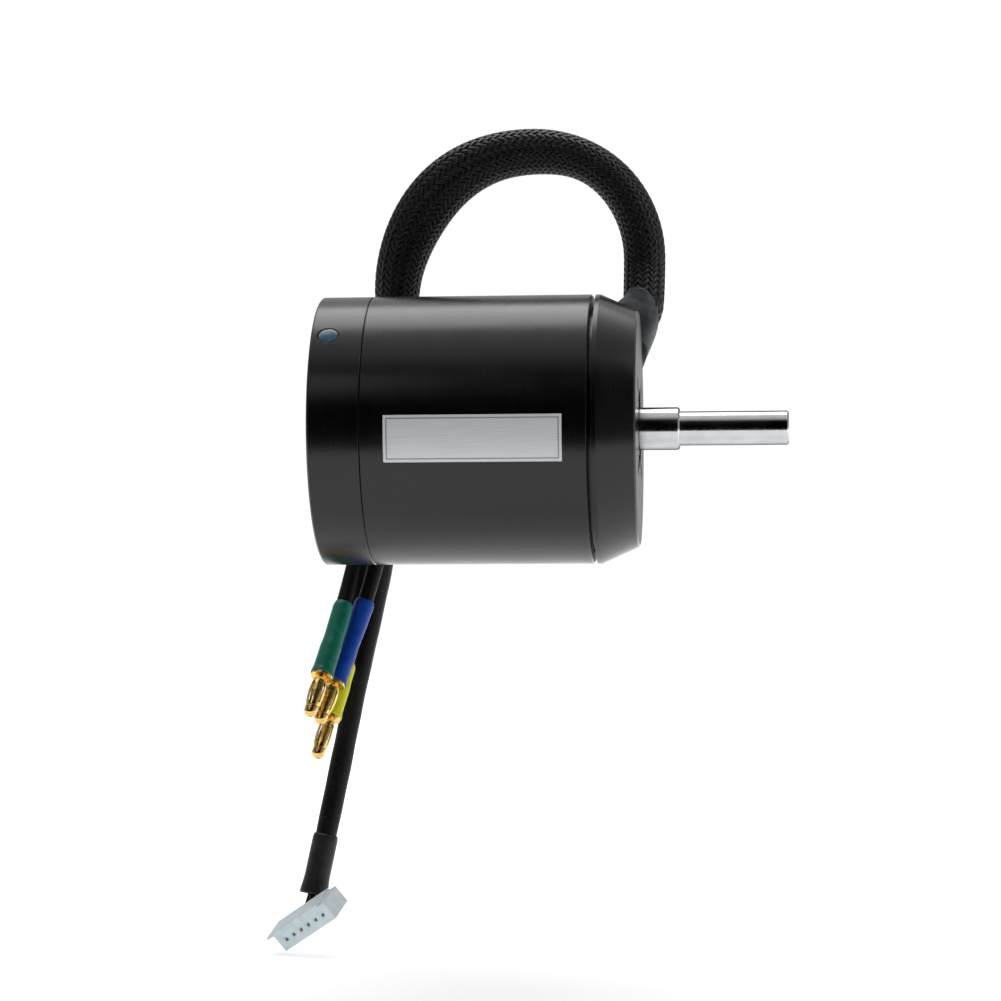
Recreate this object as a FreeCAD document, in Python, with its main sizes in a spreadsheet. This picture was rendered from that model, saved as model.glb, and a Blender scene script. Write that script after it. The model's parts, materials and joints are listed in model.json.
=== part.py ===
import FreeCAD, Part
import math
import os
import re
import Sketcher

# Brushless outrunner motor with a sleeved cable set.
# X runs along the shaft, out of the mounting face; Z is up; the label faces -Y.
# The origin is the centre of the mounting face. Lengths are millimetres, angles degrees.

os.makedirs("parts", exist_ok=True)

DIMENSIONS = [
    # front mount and bearing tube
    ("can_radius", 31.5, "outer radius of the can and covers"),
    ("face_radius", 27.5, "radius of the flat mounting face"),
    ("edge_break", 0.4, "small chamfer on turned edges"),
    ("cone_length", 8.8, "length of the front cone"),
    ("mount_length", 9.8, "cone and land together"),
    ("lip_radius", 28.0, "labyrinth lip inside the can"),
    ("lip_end", 12.5, "how far back the lip reaches"),
    ("cavity_radius", 26.0, "wiring space behind the mounting face"),
    ("plate_thickness", 5.0, "thickness of the mounting plate"),
    ("tube_radius", 12.0, "outside of the bearing tube"),
    ("tube_bore", 8.5, "bore between the bearing seats"),
    ("tube_end", 60.0, "rear end of the bearing tube"),
    ("bolt_circle_radius", 13.5, "circle of the mounting holes"),
    ("bolt_hole_radius", 2.0, "M4 mounting hole"),
    ("bolt_hole_depth", 4.7, "depth of a mounting hole"),
    ("bolt_count", 4, "mounting holes"),
    # bearings
    ("bearing_radius", 9.5, "bearing outer radius"),
    ("bearing_width", 5.0, "bearing width"),
    ("front_seat_depth", 6.2, "depth of the front bearing seat"),
    ("seat_gap", 0.01, "fit gap round a bearing and in bonded joints"),
    ("race_inner_land", 6.4, "outer radius of the inner race"),
    ("race_outer_land", 8.2, "inner radius of the outer race"),
    ("ball_pitch", 7.25, "radius of the ball circle"),
    ("ball_radius", 1.19, "ball radius"),
    ("ball_count", 11, "balls in a bearing"),
    ("ball_play", 0.05, "gap between a ball and its groove or pocket"),
    ("cage_half_width", 1.75, "half width of the cage"),
    ("cage_half_wall", 0.4, "half wall of the cage"),
    ("shield_thickness", 0.3, "thickness of a bearing shield"),
    ("shield_gap", 0.12, "gap between a shield and the inner race"),
    # shaft
    ("shaft_radius", 5.0, "shaft through the bearings"),
    ("output_radius", 4.0, "output end of the shaft"),
    ("shoulder_x", 9.4, "where the shaft steps down"),
    ("shaft_tip", 34.7, "front end of the shaft"),
    ("shaft_rear", 73.5, "rear end of the shaft, behind the face"),
    ("groove_radius", 4.8, "bottom of the circlip groove"),
    ("circlip_thickness", 1.0, "circlip thickness"),
    ("circlip_radius", 6.3, "circlip outer radius"),
    ("circlip_gap_angle", 50.0, "opening of the circlip"),
    ("screw_seat_radius", 4.6, "turned seat for the set screws"),
    ("spacer_radius", 6.2, "rear spacer outer radius"),
    # rotor
    ("rear_face", 74.0, "rear face, behind the mounting face"),
    ("seam", 62.0, "joint between the rear cover and the can"),
    ("web_front", 66.0, "front of the rear cover's web"),
    ("hub_radius", 11.0, "hub of the rear cover"),
    ("cover_cavity", 27.0, "inside of the rear cover's rim"),
    ("dish_outer", 24.0, "outer radius of the dish in the rear face"),
    ("dish_inner", 8.0, "inner radius of the dish in the rear face"),
    ("dish_depth", 0.7, "depth of the dish in the rear face"),
    ("can_front", 10.6, "front edge of the can"),
    ("can_bore", 28.75, "inside of the can"),
    ("magnet_front", 16.5, "front ends of the magnets"),
    ("magnet_rear", 59.5, "rear ends of the magnets"),
    ("magnet_inner", 25.6, "inner radius of the magnets"),
    ("magnet_angle", 23.0, "arc of one magnet"),
    ("pole_pairs", 7, "pairs of magnets"),
    ("set_screw_x", 70.0, "set screws, behind the face"),
    ("set_screw_hole", 2.5, "radius of a set screw hole"),
    ("set_screw_radius", 2.48, "M5 set screw"),
    ("set_screw_length", 10.0, "set screw length"),
    ("set_screw_angle", 140.0, "where the first set screw is, from +Y towards +Z"),
    ("hex_radius", 1.44, "hexagon socket, centre to corner"),
    ("seal_depth", 1.4, "thread-lock cap in the mouth of a set screw hole"),
    ("label_front", 16.3, "front end of the label"),
    ("label_rear", 56.5, "rear end of the label"),
    ("label_angle", 19.4, "arc of the label"),
    ("label_turn", 187.1, "middle of the label, from +Y towards +Z"),
    ("label_thickness", 0.15, "foil thickness"),
    # stator
    ("core_front", 18.0, "front of the lamination stack"),
    ("core_rear", 58.0, "rear of the lamination stack"),
    ("core_radius", 25.0, "stator outer radius"),
    ("yoke_radius", 17.5, "outside of the stator's ring"),
    ("tip_radius", 23.9, "where the tooth tips begin"),
    ("tip_angle", 13.2, "half the arc of a tooth tip"),
    ("tooth_half_width", 2.7, "half the width of a tooth"),
    ("slot_count", 12, "teeth"),
    ("insulator_thickness", 1.2, "end insulators of the stator"),
    ("insulator_yoke", 17.4, "outside of the insulator's ring"),
    ("insulator_reach", 23.6, "how far an insulator's fingers reach"),
    ("coil_inner", 17.7, "inner radius of the coils"),
    ("coil_outer", 23.0, "outer radius of the coils"),
    ("coil_window_half", 2.85, "half width of a coil's window"),
    ("coil_half_width", 4.5, "half width of a coil"),
    ("coil_window_length", 22.1, "half length of a coil's window"),
    ("coil_length", 24.4, "half length of a coil"),
    ("coil_corner", 1.2, "rounding of a coil's corners"),
    # sensor board
    ("board_thickness", 1.2, "sensor board"),
    ("board_inner", 17.6, "inner radius of the sensor board"),
    ("board_outer", 25.5, "outer radius of the sensor board"),
    ("board_angle", 200.0, "arc of the sensor board"),
    ("board_turn", 215.0, "middle of the sensor board, from +Y towards +Z"),
    ("board_screw_radius", 21.5, "circle of the board screws"),
    ("board_screw_angle", 170.0, "angle between the board screws"),
    ("board_screw_size", 0.98, "M2 screw"),
    ("board_hole_size", 1.03, "hole for an M2 screw"),
    ("board_screw_depth", 3.4, "screw length in the plate"),
    ("board_head_radius", 1.9, "screw head radius"),
    ("board_head_height", 1.3, "screw head height"),
    ("hall_spacing", 68.5714, "angle between hall sensors"),
    ("hall_low", 23.6, "inner side of a hall sensor"),
    ("hall_high", 25.1, "outer side of a hall sensor"),
    ("hall_half_width", 2.0, "half width of a hall sensor"),
    ("hall_top", 12.9, "front of a hall sensor"),
    ("hall_end", 15.9, "rear of a hall sensor"),
    ("hall_leg", 0.2, "half width of a leg"),
    ("hall_leg_pitch", 1.27, "distance between legs"),
    ("thermistor_radius", 1.2, "bead of the temperature sensor"),
    ("thermistor_x", 12.5, "bead, behind the face"),
    ("thermistor_circle", 20.0, "circle the bead sits on"),
    ("thermistor_turn", 255.0, "where the bead sits, from +Y towards +Z"),
    # cable exit
    ("exit_angle", 35.0, "direction of the cable exit, from +Y towards +Z"),
    ("exit_x", 6.6, "middle of the exit slot, behind the face"),
    ("slot_half_width", 2.4, "half the exit slot along the shaft"),
    ("slot_half_length", 8.6, "half the exit slot round the cone"),
    ("slot_inner", 17.0, "inner end of the exit slot"),
    ("grommet_inner", 26.3, "inner face of the grommet"),
    ("grommet_outer", 28.8, "outer face of the grommet"),
    ("lead_radius", 1.95, "radius of a phase lead"),
    ("lead_pitch", 4.15, "distance between neighbouring leads"),
    ("lead_spread", 0.11, "sideways turn of a lead leaving the sleeve, per mm from its middle"),
    ("lead_spread_x", 0.035, "the same along the shaft"),
    ("lead_start_x", 13.3, "start of a lead at the coils"),
    ("lead_circle", 19.3, "radius where a lead leaves the coils"),
    ("lead_elbow", 4.0, "first bend of a lead"),
    ("exit_bend_start", 31.5, "radius where the bundle starts to turn up"),
    ("exit_bend", 10.5, "bend radius of the bundle outside the cone"),
    # cable loop
    ("loop_top_x", 25.9, "highest point of the loop, behind the face"),
    ("loop_top", 71.6, "height of the loop's centreline"),
    ("loop_front_x", 0.1, "front of the loop, behind the face"),
    ("loop_front_height", 44.6, "height of the loop's front"),
    ("loop_rear_x", 61.8, "rear of the loop, behind the face"),
    ("loop_rear_height", 36.9, "height of the loop's rear"),
    ("loop_front_depth", 36.0, "loop centreline behind the shaft, at the front"),
    ("loop_rear_depth", 38.4, "loop centreline behind the shaft, at the rear"),
    ("fall_rate", 0.0016, "how fast the hanging end drifts rearwards"),
    ("sweep_step", 15.0, "longest edge of a swept path"),
    ("sleeve_radius", 5.5, "outside of the braided sleeve"),
    ("sleeve_bore", 4.95, "inside of the braided sleeve"),
    ("sleeve_start", 9.5, "sleeve start, along the bundle from the bend's end"),
    ("sleeve_end_z", -15.0, "height of the sleeve's lower end"),
    ("wrap_radius", 6.1, "outside of the wrap on the sleeve's end"),
    ("wrap_length", 12.0, "length of the wrap"),
    ("twist_length", 13.0, "length over which the row becomes a square"),
    # exit boot
    ("boot_play", 1.3, "gap between the leads and the boot"),
    ("boot_clearance", 0.35, "gap between the sleeve and the boot"),
    ("boot_wall", 0.75, "wall of the boot"),
    ("boot_top", 12.5, "end of the boot, along the bundle from the bend's end"),
    # phase plugs
    ("barrel_radius", 2.35, "barrel of a phase plug"),
    ("barrel_length", 8.0, "length of the barrel"),
    ("collar_radius", 2.7, "collar of a phase plug"),
    ("collar_length", 1.0, "length of the collar"),
    ("plug_core", 1.15, "core of a phase plug under its spring"),
    ("plug_nose_radius", 1.6, "rounded nose of a phase plug"),
    ("plug_length", 11.0, "phase plug from the collar to its nose"),
    ("spring_bulge", 2.05, "radius of the plug spring at its middle"),
    ("spring_end", 1.6, "radius of the plug spring at its ends"),
    ("spring_wall", 0.3, "wall of the plug spring"),
    ("spring_start", 0.6, "plug spring, from the collar"),
    ("spring_length", 7.6, "length of the plug spring"),
    ("spring_slot", 0.5, "width of a slot in the plug spring"),
    ("spring_slots", 8, "slots in a plug spring"),
    ("shrink_radius", 2.75, "outside of a phase lead's heat-shrink"),
    ("shrink_bore", 2.38, "inside of a phase lead's heat-shrink"),
    # sensor cable
    ("wire_radius", 0.35, "radius of a sensor wire"),
    ("wire_circle", 1.16, "circle the six sensor wires lie on"),
    ("wire_count", 6, "sensor wires"),
    ("jacket_gap", 7.0, "bare wires between the sleeve's end and the jacket"),
    ("jacket_radius", 2.7, "outside of the sensor cable's jacket"),
    ("jacket_bore", 1.85, "inside of the sensor cable's jacket"),
    ("mouth_radius", 3.2, "outside of the end sleeve on the sensor cable"),
    ("mouth_length", 13.5, "length of the end sleeve"),
    ("mouth_overlap", 12.0, "how much of the end sleeve covers the jacket"),
    ("plug_pitch", 2.5, "distance between sensor contacts"),
    ("plug_width", 17.2, "sensor plug along its row of contacts"),
    ("plug_thickness", 4.8, "sensor plug thickness"),
    ("plug_height", 9.0, "sensor plug from back to mating face"),
    ("contact_half", 0.62, "half width of a contact cavity"),
    ("contact_length", 5.5, "length of a contact"),
    ("entry_depth", 2.2, "depth of the wire entries in the plug's back"),
]

Vector = FreeCAD.Vector
ALONG_X = Vector(1, 0, 0)
ALONG_Y = Vector(0, 1, 0)
ALONG_Z = Vector(0, 0, 1)

doc = FreeCAD.newDocument("OutrunnerMotor")
sheet = doc.addObject("Spreadsheet::Sheet", "Dimensions")
for row, (alias, value, meaning) in enumerate(DIMENSIONS, start=1):
    sheet.set("A%d" % row, meaning)
    sheet.set("B%d" % row, str(value))
    sheet.setAlias("B%d" % row, alias)
doc.recompute()
ALIASES = {alias for alias, value, meaning in DIMENSIONS}
sub_parts = []


def bound(formula):
    """The formula with each dimension's name pointing at its cell."""
    def cell(match):
        word = match.group(0)
        return "Dimensions." + word if word in ALIASES else word
    return re.sub(r"[a-z_]+", cell, formula)


def size(formula):
    """The formula's value, worked out from the sheet."""
    return float(sheet.evalExpression(bound(formula)))


def bind(item, path, formula):
    item.setExpression(path, bound(formula))


def keep(item, label):
    """Names a finished sub-part and adds it to those that are written."""
    item.Label = label
    sub_parts.append(item)
    return item


# ---------------------------------------------------------------- sketch helpers

def new_body(label):
    body = doc.addObject("PartDesign::Body", label.title().replace("_", ""))
    body.AllowCompound = True
    return keep(body, label)


def origin_item(body, role):
    return next(item for item in body.Origin.OriginFeatures if item.Role == role)


def new_sketch(body, name, plane="XY_Plane", offset=None, turn=None):
    """A sketch on one of the body's own planes, moved along and turned about its normal."""
    sketch = body.newObject("Sketcher::SketchObject", name)
    sketch.AttachmentSupport = [(origin_item(body, plane), "")]
    sketch.MapMode = "FlatFace"
    height = size(offset) if offset else 0
    angle = size(turn) if turn else 0
    sketch.AttachmentOffset = FreeCAD.Placement(Vector(0, 0, height), FreeCAD.Rotation(ALONG_Z, angle))
    if offset:
        bind(sketch, "AttachmentOffset.Base.z", offset)
    if turn:
        bind(sketch, "AttachmentOffset.Rotation.Angle", turn)
    return sketch


def hold(sketch, geometry, vertex, across, up):
    """Fixes a vertex at a place worked out from the sheet."""
    for kind, formula in (("DistanceX", across), ("DistanceY", up)):
        index = sketch.addConstraint(Sketcher.Constraint(kind, -1, 1, geometry, vertex, size(formula)))
        bind(sketch, "Constraints[%d]" % index, formula)


def outline(sketch, corners):
    """Draws a closed outline of straight lines through the corners."""
    points = [Vector(size(across), size(up), 0) for across, up in corners]
    first = sketch.GeometryCount
    count = len(points)
    for i, point in enumerate(points):
        sketch.addGeometry(Part.LineSegment(point, points[(i + 1) % count]), False)
    for i, (across, up) in enumerate(corners):
        sketch.addConstraint(Sketcher.Constraint("Coincident", first + i, 2, first + (i + 1) % count, 1))
        hold(sketch, first + i, 1, across, up)


def rectangle(sketch, left, right, low, high):
    outline(sketch, [(left, low), (right, low), (right, high), (left, high)])


def circle(sketch, across, up, radius):
    centre = Vector(size(across), size(up), 0)
    index = sketch.addGeometry(Part.Circle(centre, ALONG_Z, size(radius)), False)
    hold(sketch, index, 3, across, up)
    constraint = sketch.addConstraint(Sketcher.Constraint("Radius", index, size(radius)))
    bind(sketch, "Constraints[%d]" % constraint, radius)


# ---------------------------------------------------------------- feature helpers

def turn_about_x(body, name, sketch, cut=False, angle=None):
    """Revolves a sketch about the X axis; with an angle, equally to both sides."""
    feature = body.newObject("PartDesign::Groove" if cut else "PartDesign::Revolution", name)
    feature.Profile = sketch
    feature.ReferenceAxis = (sketch, ["H_Axis"])
    if angle:
        feature.Midplane = True
        feature.Angle = size(angle)
        bind(feature, "Angle", angle)
    else:
        feature.Angle = 360
    return feature


def turned(body, name, corners, cut=False, angle=None):
    sketch = new_sketch(body, name + "Outline")
    outline(sketch, corners)
    return turn_about_x(body, name, sketch, cut, angle)


def extrude(body, name, sketch, length, cut=False, backwards=False):
    feature = body.newObject("PartDesign::Pocket" if cut else "PartDesign::Pad", name)
    feature.Profile = sketch
    feature.Reversed = backwards
    feature.Length = size(length)
    bind(feature, "Length", length)
    return feature


def polar(body, name, originals, count, angle="360"):
    """Repeats features about the body's X axis."""
    pattern = body.newObject("PartDesign::PolarPattern", name)
    pattern.Originals = originals
    pattern.Axis = (origin_item(body, "X_Axis"), [""])
    pattern.Angle = size(angle)
    bind(pattern, "Angle", angle)
    pattern.Occurrences = int(size(count))
    bind(pattern, "Occurrences", count)
    body.Tip = pattern
    return pattern


def turn_body(body, angle):
    """Turns a body about the shaft, from +Y towards +Z."""
    body.Placement = FreeCAD.Placement(Vector(), FreeCAD.Rotation(ALONG_X, size(angle)))
    bind(body, "Placement.Rotation.Angle", angle)


def drill_checked(body, before, name):
    """A cut that misses shows no error, so the volume has to drop."""
    doc.recompute()
    if body.Shape.Volume >= before - 0.01:
        raise ValueError("%s cuts nothing" % name)


# ---------------------------------------------------------------- stator side

def front_mount():
    body = new_body("front_mount")
    turned(body, "Turning", [
        ("0", "bearing_radius + seat_gap"),
        ("0", "face_radius - edge_break"),
        ("-edge_break", "face_radius + edge_break * (can_radius - face_radius) / cone_length"),
        ("-cone_length", "can_radius"),
        ("-mount_length", "can_radius"),
        ("-mount_length", "lip_radius"),
        ("-lip_end", "lip_radius"),
        ("-lip_end", "cavity_radius"),
        ("-plate_thickness", "cavity_radius"),
        ("-plate_thickness", "tube_radius"),
        ("-tube_end", "tube_radius"),
        ("-tube_end", "bearing_radius + seat_gap"),
        ("bearing_width - tube_end", "bearing_radius + seat_gap"),
        ("bearing_width - tube_end", "tube_bore"),
        ("-front_seat_depth", "tube_bore"),
        ("-front_seat_depth", "bearing_radius + seat_gap"),
    ])
    doc.recompute()
    solid_volume = body.Shape.Volume
    holes = new_sketch(body, "MountingHoleCentre", "YZ_Plane", turn="45")
    circle(holes, "bolt_circle_radius", "0", "bolt_hole_radius")
    hole = extrude(body, "MountingHole", holes, "bolt_hole_depth", cut=True)
    polar(body, "MountingHoles", [hole], "bolt_count")
    drill_checked(body, solid_volume, "MountingHoles")

    solid_volume = body.Shape.Volume
    slot = new_sketch(body, "ExitSlotOutline", "YZ_Plane", "slot_half_width - exit_x", "exit_angle")
    rectangle(slot, "slot_inner", "can_radius + 5", "-slot_half_length", "slot_half_length")
    extrude(body, "ExitSlot", slot, "2 * slot_half_width", cut=True)
    drill_checked(body, solid_volume, "ExitSlot")

    solid_volume = body.Shape.Volume
    screw = new_sketch(body, "BoardScrewCentre", "YZ_Plane", "-plate_thickness",
                       "board_turn - board_screw_angle / 2")
    circle(screw, "board_screw_radius", "0", "board_hole_size")
    hole = extrude(body, "BoardScrewHole", screw, "board_screw_depth + 0.2", cut=True, backwards=True)
    polar(body, "BoardScrewHoles", [hole], "2", "board_screw_angle")
    drill_checked(body, solid_volume, "BoardScrewHoles")


def stator_core():
    """Lamination stack: a ring on the bearing tube with teeth that end in wide tips."""
    body = new_body("stator_core")
    ring = new_sketch(body, "RingOutline", "YZ_Plane", "-core_front")
    circle(ring, "0", "0", "yoke_radius")
    circle(ring, "0", "0", "tube_radius + seat_gap")
    extrude(body, "Ring", ring, "core_rear - core_front", backwards=True)

    tooth = new_sketch(body, "ToothOutline", "YZ_Plane", "-core_front")
    root = "yoke_radius - 0.5"
    side = "tooth_half_width"
    tip_across = "core_radius * cos(tip_angle)"
    tip_up = "core_radius * sin(tip_angle)"
    corners = [
        (root, "-" + side),
        ("tip_radius - 0.6", "-" + side),
        ("tip_radius * cos(tip_angle)", "-tip_radius * sin(tip_angle)"),
        (tip_across, "-" + tip_up),
        (tip_across, tip_up),
        ("tip_radius * cos(tip_angle)", "tip_radius * sin(tip_angle)"),
        ("tip_radius - 0.6", side),
        (root, side),
    ]
    points = [Vector(size(across), size(up), 0) for across, up in corners]
    arc_at = 3
    for i, point in enumerate(points):
        if i == arc_at:
            half_arc = math.radians(size("tip_angle"))
            round_end = Part.Circle(Vector(), ALONG_Z, size("core_radius"))
            tooth.addGeometry(Part.ArcOfCircle(round_end, -half_arc, half_arc), False)
        else:
            tooth.addGeometry(Part.LineSegment(point, points[(i + 1) % len(points)]), False)
    tooth.addConstraint(Sketcher.Constraint("Coincident", arc_at, 3, -1, 1))
    for i, (across, up) in enumerate(corners):
        following = (i + 1) % len(corners)
        tooth.addConstraint(Sketcher.Constraint("Coincident", i, 2, following, 1))
        if i == arc_at + 1:
            index = tooth.addConstraint(Sketcher.Constraint("DistanceY", -1, 1, i, 1, size(up)))
            bind(tooth, "Constraints[%d]" % index, up)
        else:
            hold(tooth, i, 1, across, up)
    pad = extrude(body, "Tooth", tooth, "core_rear - core_front", backwards=True)
    polar(body, "Teeth", [pad], "slot_count")


def end_insulator(label, front):
    """A plastic ring with a finger over each tooth, on one end of the stack."""
    body = new_body(label)
    ring = new_sketch(body, "RingOutline", "YZ_Plane", front)
    circle(ring, "0", "0", "insulator_yoke")
    circle(ring, "0", "0", "tube_radius + 0.3")
    extrude(body, "Ring", ring, "insulator_thickness", backwards=True)
    finger = new_sketch(body, "FingerOutline", "YZ_Plane", front)
    rectangle(finger, "yoke_radius - 1", "insulator_reach", "-tooth_half_width", "tooth_half_width")
    pad = extrude(body, "Finger", finger, "insulator_thickness", backwards=True)
    polar(body, "Fingers", [pad], "slot_count")


def phase_coils(label, turn):
    """Four coils of one phase: two neighbouring teeth, and the two opposite them."""
    body = new_body(label)
    sketch = new_sketch(body, "CoilOutline", "XY_Plane", "coil_inner")
    middle = "-(core_front + core_rear) / 2"
    for length, width in (("coil_length", "coil_half_width"), ("coil_window_length", "coil_window_half")):
        rectangle(sketch, "%s - %s" % (middle, length), "%s + %s" % (middle, length), "-" + width, width)
    coil = extrude(body, "Coil", sketch, "coil_outer - coil_inner")
    doc.recompute()
    corners = ["Edge%d" % (i + 1) for i, edge in enumerate(coil.Shape.Edges)
               if abs(edge.tangentAt(edge.FirstParameter).z) > 0.9]
    rounding = body.newObject("PartDesign::Fillet", "CoilCorners")
    rounding.Base = (coil, corners)
    rounding.Radius = size("coil_corner")
    bind(rounding, "Radius", "coil_corner")
    repeats = body.newObject("PartDesign::MultiTransform", "Coils")
    repeats.Originals = [coil, rounding]
    steps = []
    for name, angle in (("Neighbour", "360 / slot_count"), ("Opposite", "360")):
        step = body.newObject("PartDesign::PolarPattern", name)
        step.Axis = (origin_item(body, "X_Axis"), [""])
        step.Angle = size(angle)
        step.Occurrences = 2
        steps.append(step)
    repeats.Transformations = steps
    body.Tip = repeats
    turn_body(body, turn)


def sensor_board():
    body = new_body("sensor_board")
    rear = "-plate_thickness - board_thickness"
    sketch = new_sketch(body, "BoardSection")
    rectangle(sketch, rear, "-plate_thickness", "board_inner", "board_outer")
    turn_about_x(body, "Board", sketch, angle="board_angle")
    doc.recompute()
    solid_volume = body.Shape.Volume
    centre = new_sketch(body, "ScrewHoleCentre", "YZ_Plane", "-plate_thickness", "-board_screw_angle / 2")
    circle(centre, "board_screw_radius", "0", "board_hole_size")
    hole = extrude(body, "ScrewHole", centre, "board_thickness", cut=True)
    polar(body, "ScrewHoles", [hole], "2", "board_screw_angle")
    drill_checked(body, solid_volume, "ScrewHoles")
    turn_body(body, "board_turn")


def sensor_board_screws():
    body = new_body("sensor_board_screws")
    sketch = new_sketch(body, "ShankCentre", "YZ_Plane", "-plate_thickness - board_thickness")
    circle(sketch, "board_screw_radius", "0", "board_screw_size")
    shank = extrude(body, "Shank", sketch, "board_thickness + board_screw_depth")
    sketch = new_sketch(body, "HeadCentre", "YZ_Plane", "-plate_thickness - board_thickness")
    circle(sketch, "board_screw_radius", "0", "board_head_radius")
    head = extrude(body, "Head", sketch, "board_head_height", backwards=True)
    polar(body, "Screws", [shank, head], "2", "board_screw_angle")
    turn_body(body, "board_turn - board_screw_angle / 2")


def hall_sensors():
    body = new_body("hall_sensors")
    case = new_sketch(body, "CaseOutline", "YZ_Plane", "-hall_top")
    rectangle(case, "hall_low", "hall_high", "-hall_half_width", "hall_half_width")
    pads = [extrude(body, "Case", case, "hall_end - hall_top", backwards=True)]
    legs = new_sketch(body, "LegOutlines", "YZ_Plane", "-plate_thickness - board_thickness")
    middle = "(hall_low + hall_high) / 2"
    for place in ("-hall_leg_pitch", "0", "hall_leg_pitch"):
        rectangle(legs, middle + " - hall_leg", middle + " + hall_leg",
                  place + " - hall_leg", place + " + hall_leg")
    pads.append(extrude(body, "Legs", legs, "hall_top - plate_thickness - board_thickness", backwards=True))
    polar(body, "Sensors", pads, "3", "2 * hall_spacing")
    turn_body(body, "board_turn - hall_spacing")


def temperature_sensor():
    """A bead on two legs that stands on the sensor board, close to the coils."""
    bead = doc.addObject("Part::Sphere", "ThermistorBead")
    bind(bead, "Radius", "thermistor_radius")
    bind(bead, "Placement.Base.x", "-thermistor_x")
    bind(bead, "Placement.Base.y", "thermistor_circle")
    legs = []
    for name, side in (("ThermistorLegLeft", "-0.5"), ("ThermistorLegRight", "0.5")):
        leg = doc.addObject("Part::Cylinder", name)
        leg.Placement = FreeCAD.Placement(Vector(), FreeCAD.Rotation(ALONG_Y, 90))
        bind(leg, "Radius", "hall_leg")
        bind(leg, "Height", "thermistor_x - plate_thickness - board_thickness")
        bind(leg, "Placement.Base.x", "-thermistor_x")
        bind(leg, "Placement.Base.y", "thermistor_circle")
        bind(leg, "Placement.Base.z", side)
        legs.append(leg)
    joined = doc.addObject("Part::MultiFuse", "TemperatureSensor")
    joined.Shapes = [bead] + legs
    joined.Placement = FreeCAD.Placement(Vector(), FreeCAD.Rotation(ALONG_X, size("thermistor_turn")))
    bind(joined, "Placement.Rotation.Angle", "thermistor_turn")
    keep(joined, "temperature_sensor")


# ---------------------------------------------------------------- bearings

def race(label, middle, low, high):
    """One race of a ball bearing with its ball groove."""
    body = new_body(label)
    half = "bearing_width / 2"
    turned(body, "Race", [
        (middle + " - " + half, low),
        (middle + " + " + half, low),
        (middle + " + " + half, high),
        (middle + " - " + half, high),
    ])
    doc.recompute()
    solid_volume = body.Shape.Volume
    groove = new_sketch(body, "GrooveCircle")
    circle(groove, middle, "ball_pitch", "ball_radius + ball_play")
    turn_about_x(body, "BallGroove", groove, cut=True)
    drill_checked(body, solid_volume, label)


def bearing_cage(label, middle):
    body = new_body(label)
    turned(body, "Ring", [
        (middle + " - cage_half_width", "ball_pitch - cage_half_wall"),
        (middle + " + cage_half_width", "ball_pitch - cage_half_wall"),
        (middle + " + cage_half_width", "ball_pitch + cage_half_wall"),
        (middle + " - cage_half_width", "ball_pitch + cage_half_wall"),
    ])
    doc.recompute()
    solid_volume = body.Shape.Volume
    centre = new_sketch(body, "PocketCentre", "XY_Plane", "ball_pitch - 1")
    circle(centre, middle, "0", "ball_radius + ball_play")
    pocket = extrude(body, "BallPocket", centre, "2", cut=True, backwards=True)
    polar(body, "BallPockets", [pocket], "ball_count")
    drill_checked(body, solid_volume, label)


def bearing_balls(label, middle):
    body = new_body(label)
    sketch = new_sketch(body, "HalfBall", "XY_Plane", "ball_pitch")
    radius = size("ball_radius")
    centre = Vector(size(middle), 0, 0)
    sketch.addGeometry(Part.ArcOfCircle(Part.Circle(centre, ALONG_Z, radius), 0, math.pi), False)
    sketch.addGeometry(Part.LineSegment(centre - ALONG_X * radius, centre + ALONG_X * radius), False)
    sketch.addConstraint(Sketcher.Constraint("Coincident", 0, 2, 1, 1))
    sketch.addConstraint(Sketcher.Constraint("Coincident", 0, 1, 1, 2))
    hold(sketch, 0, 3, middle, "0")
    hold(sketch, 1, 1, middle + " - ball_radius", "0")
    sketch.addConstraint(Sketcher.Constraint("Horizontal", 1))
    ball = body.newObject("PartDesign::Revolution", "Ball")
    ball.Profile = sketch
    ball.ReferenceAxis = (sketch, ["H_Axis"])
    ball.Angle = 360
    polar(body, "Balls", [ball], "ball_count")


def bearing_shields(label, middle):
    body = new_body(label)
    for name, side in (("FrontShield", "+"), ("RearShield", "-")):
        outer = "%s %s (bearing_width / 2 - 0.1)" % (middle, side)
        inner = "%s %s (bearing_width / 2 - 0.1 - shield_thickness)" % (middle, side)
        turned(body, name, [
            (inner, "race_inner_land + shield_gap"),
            (outer, "race_inner_land + shield_gap"),
            (outer, "race_outer_land - seat_gap"),
            (inner, "race_outer_land - seat_gap"),
        ])


def bearing(end, middle):
    race(end + "_bearing_outer_race", middle, "race_outer_land", "bearing_radius")
    race(end + "_bearing_inner_race", middle, "shaft_radius + seat_gap", "race_inner_land")
    bearing_cage(end + "_bearing_cage", middle)
    bearing_balls(end + "_bearing_balls", middle)
    bearing_shields(end + "_bearing_shields", middle)


# ---------------------------------------------------------------- rotor

def shaft():
    body = new_body("shaft")
    turned(body, "Turning", [
        ("-shaft_rear", "0"),
        ("shaft_tip", "0"),
        ("shaft_tip", "output_radius - edge_break"),
        ("shaft_tip - edge_break", "output_radius"),
        ("shoulder_x", "output_radius"),
        ("shoulder_x", "shaft_radius - edge_break"),
        ("shoulder_x - edge_break", "shaft_radius"),
        ("bearing_width - front_seat_depth + circlip_thickness", "shaft_radius"),
        ("bearing_width - front_seat_depth + circlip_thickness", "groove_radius"),
        ("bearing_width - front_seat_depth", "groove_radius"),
        ("bearing_width - front_seat_depth", "shaft_radius"),
        ("set_screw_hole - set_screw_x", "shaft_radius"),
        ("set_screw_hole - set_screw_x", "screw_seat_radius"),
        ("-set_screw_hole - set_screw_x", "screw_seat_radius"),
        ("-set_screw_hole - set_screw_x", "shaft_radius"),
        ("edge_break - shaft_rear", "shaft_radius"),
        ("-shaft_rear", "shaft_radius - edge_break"),
    ])


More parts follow.
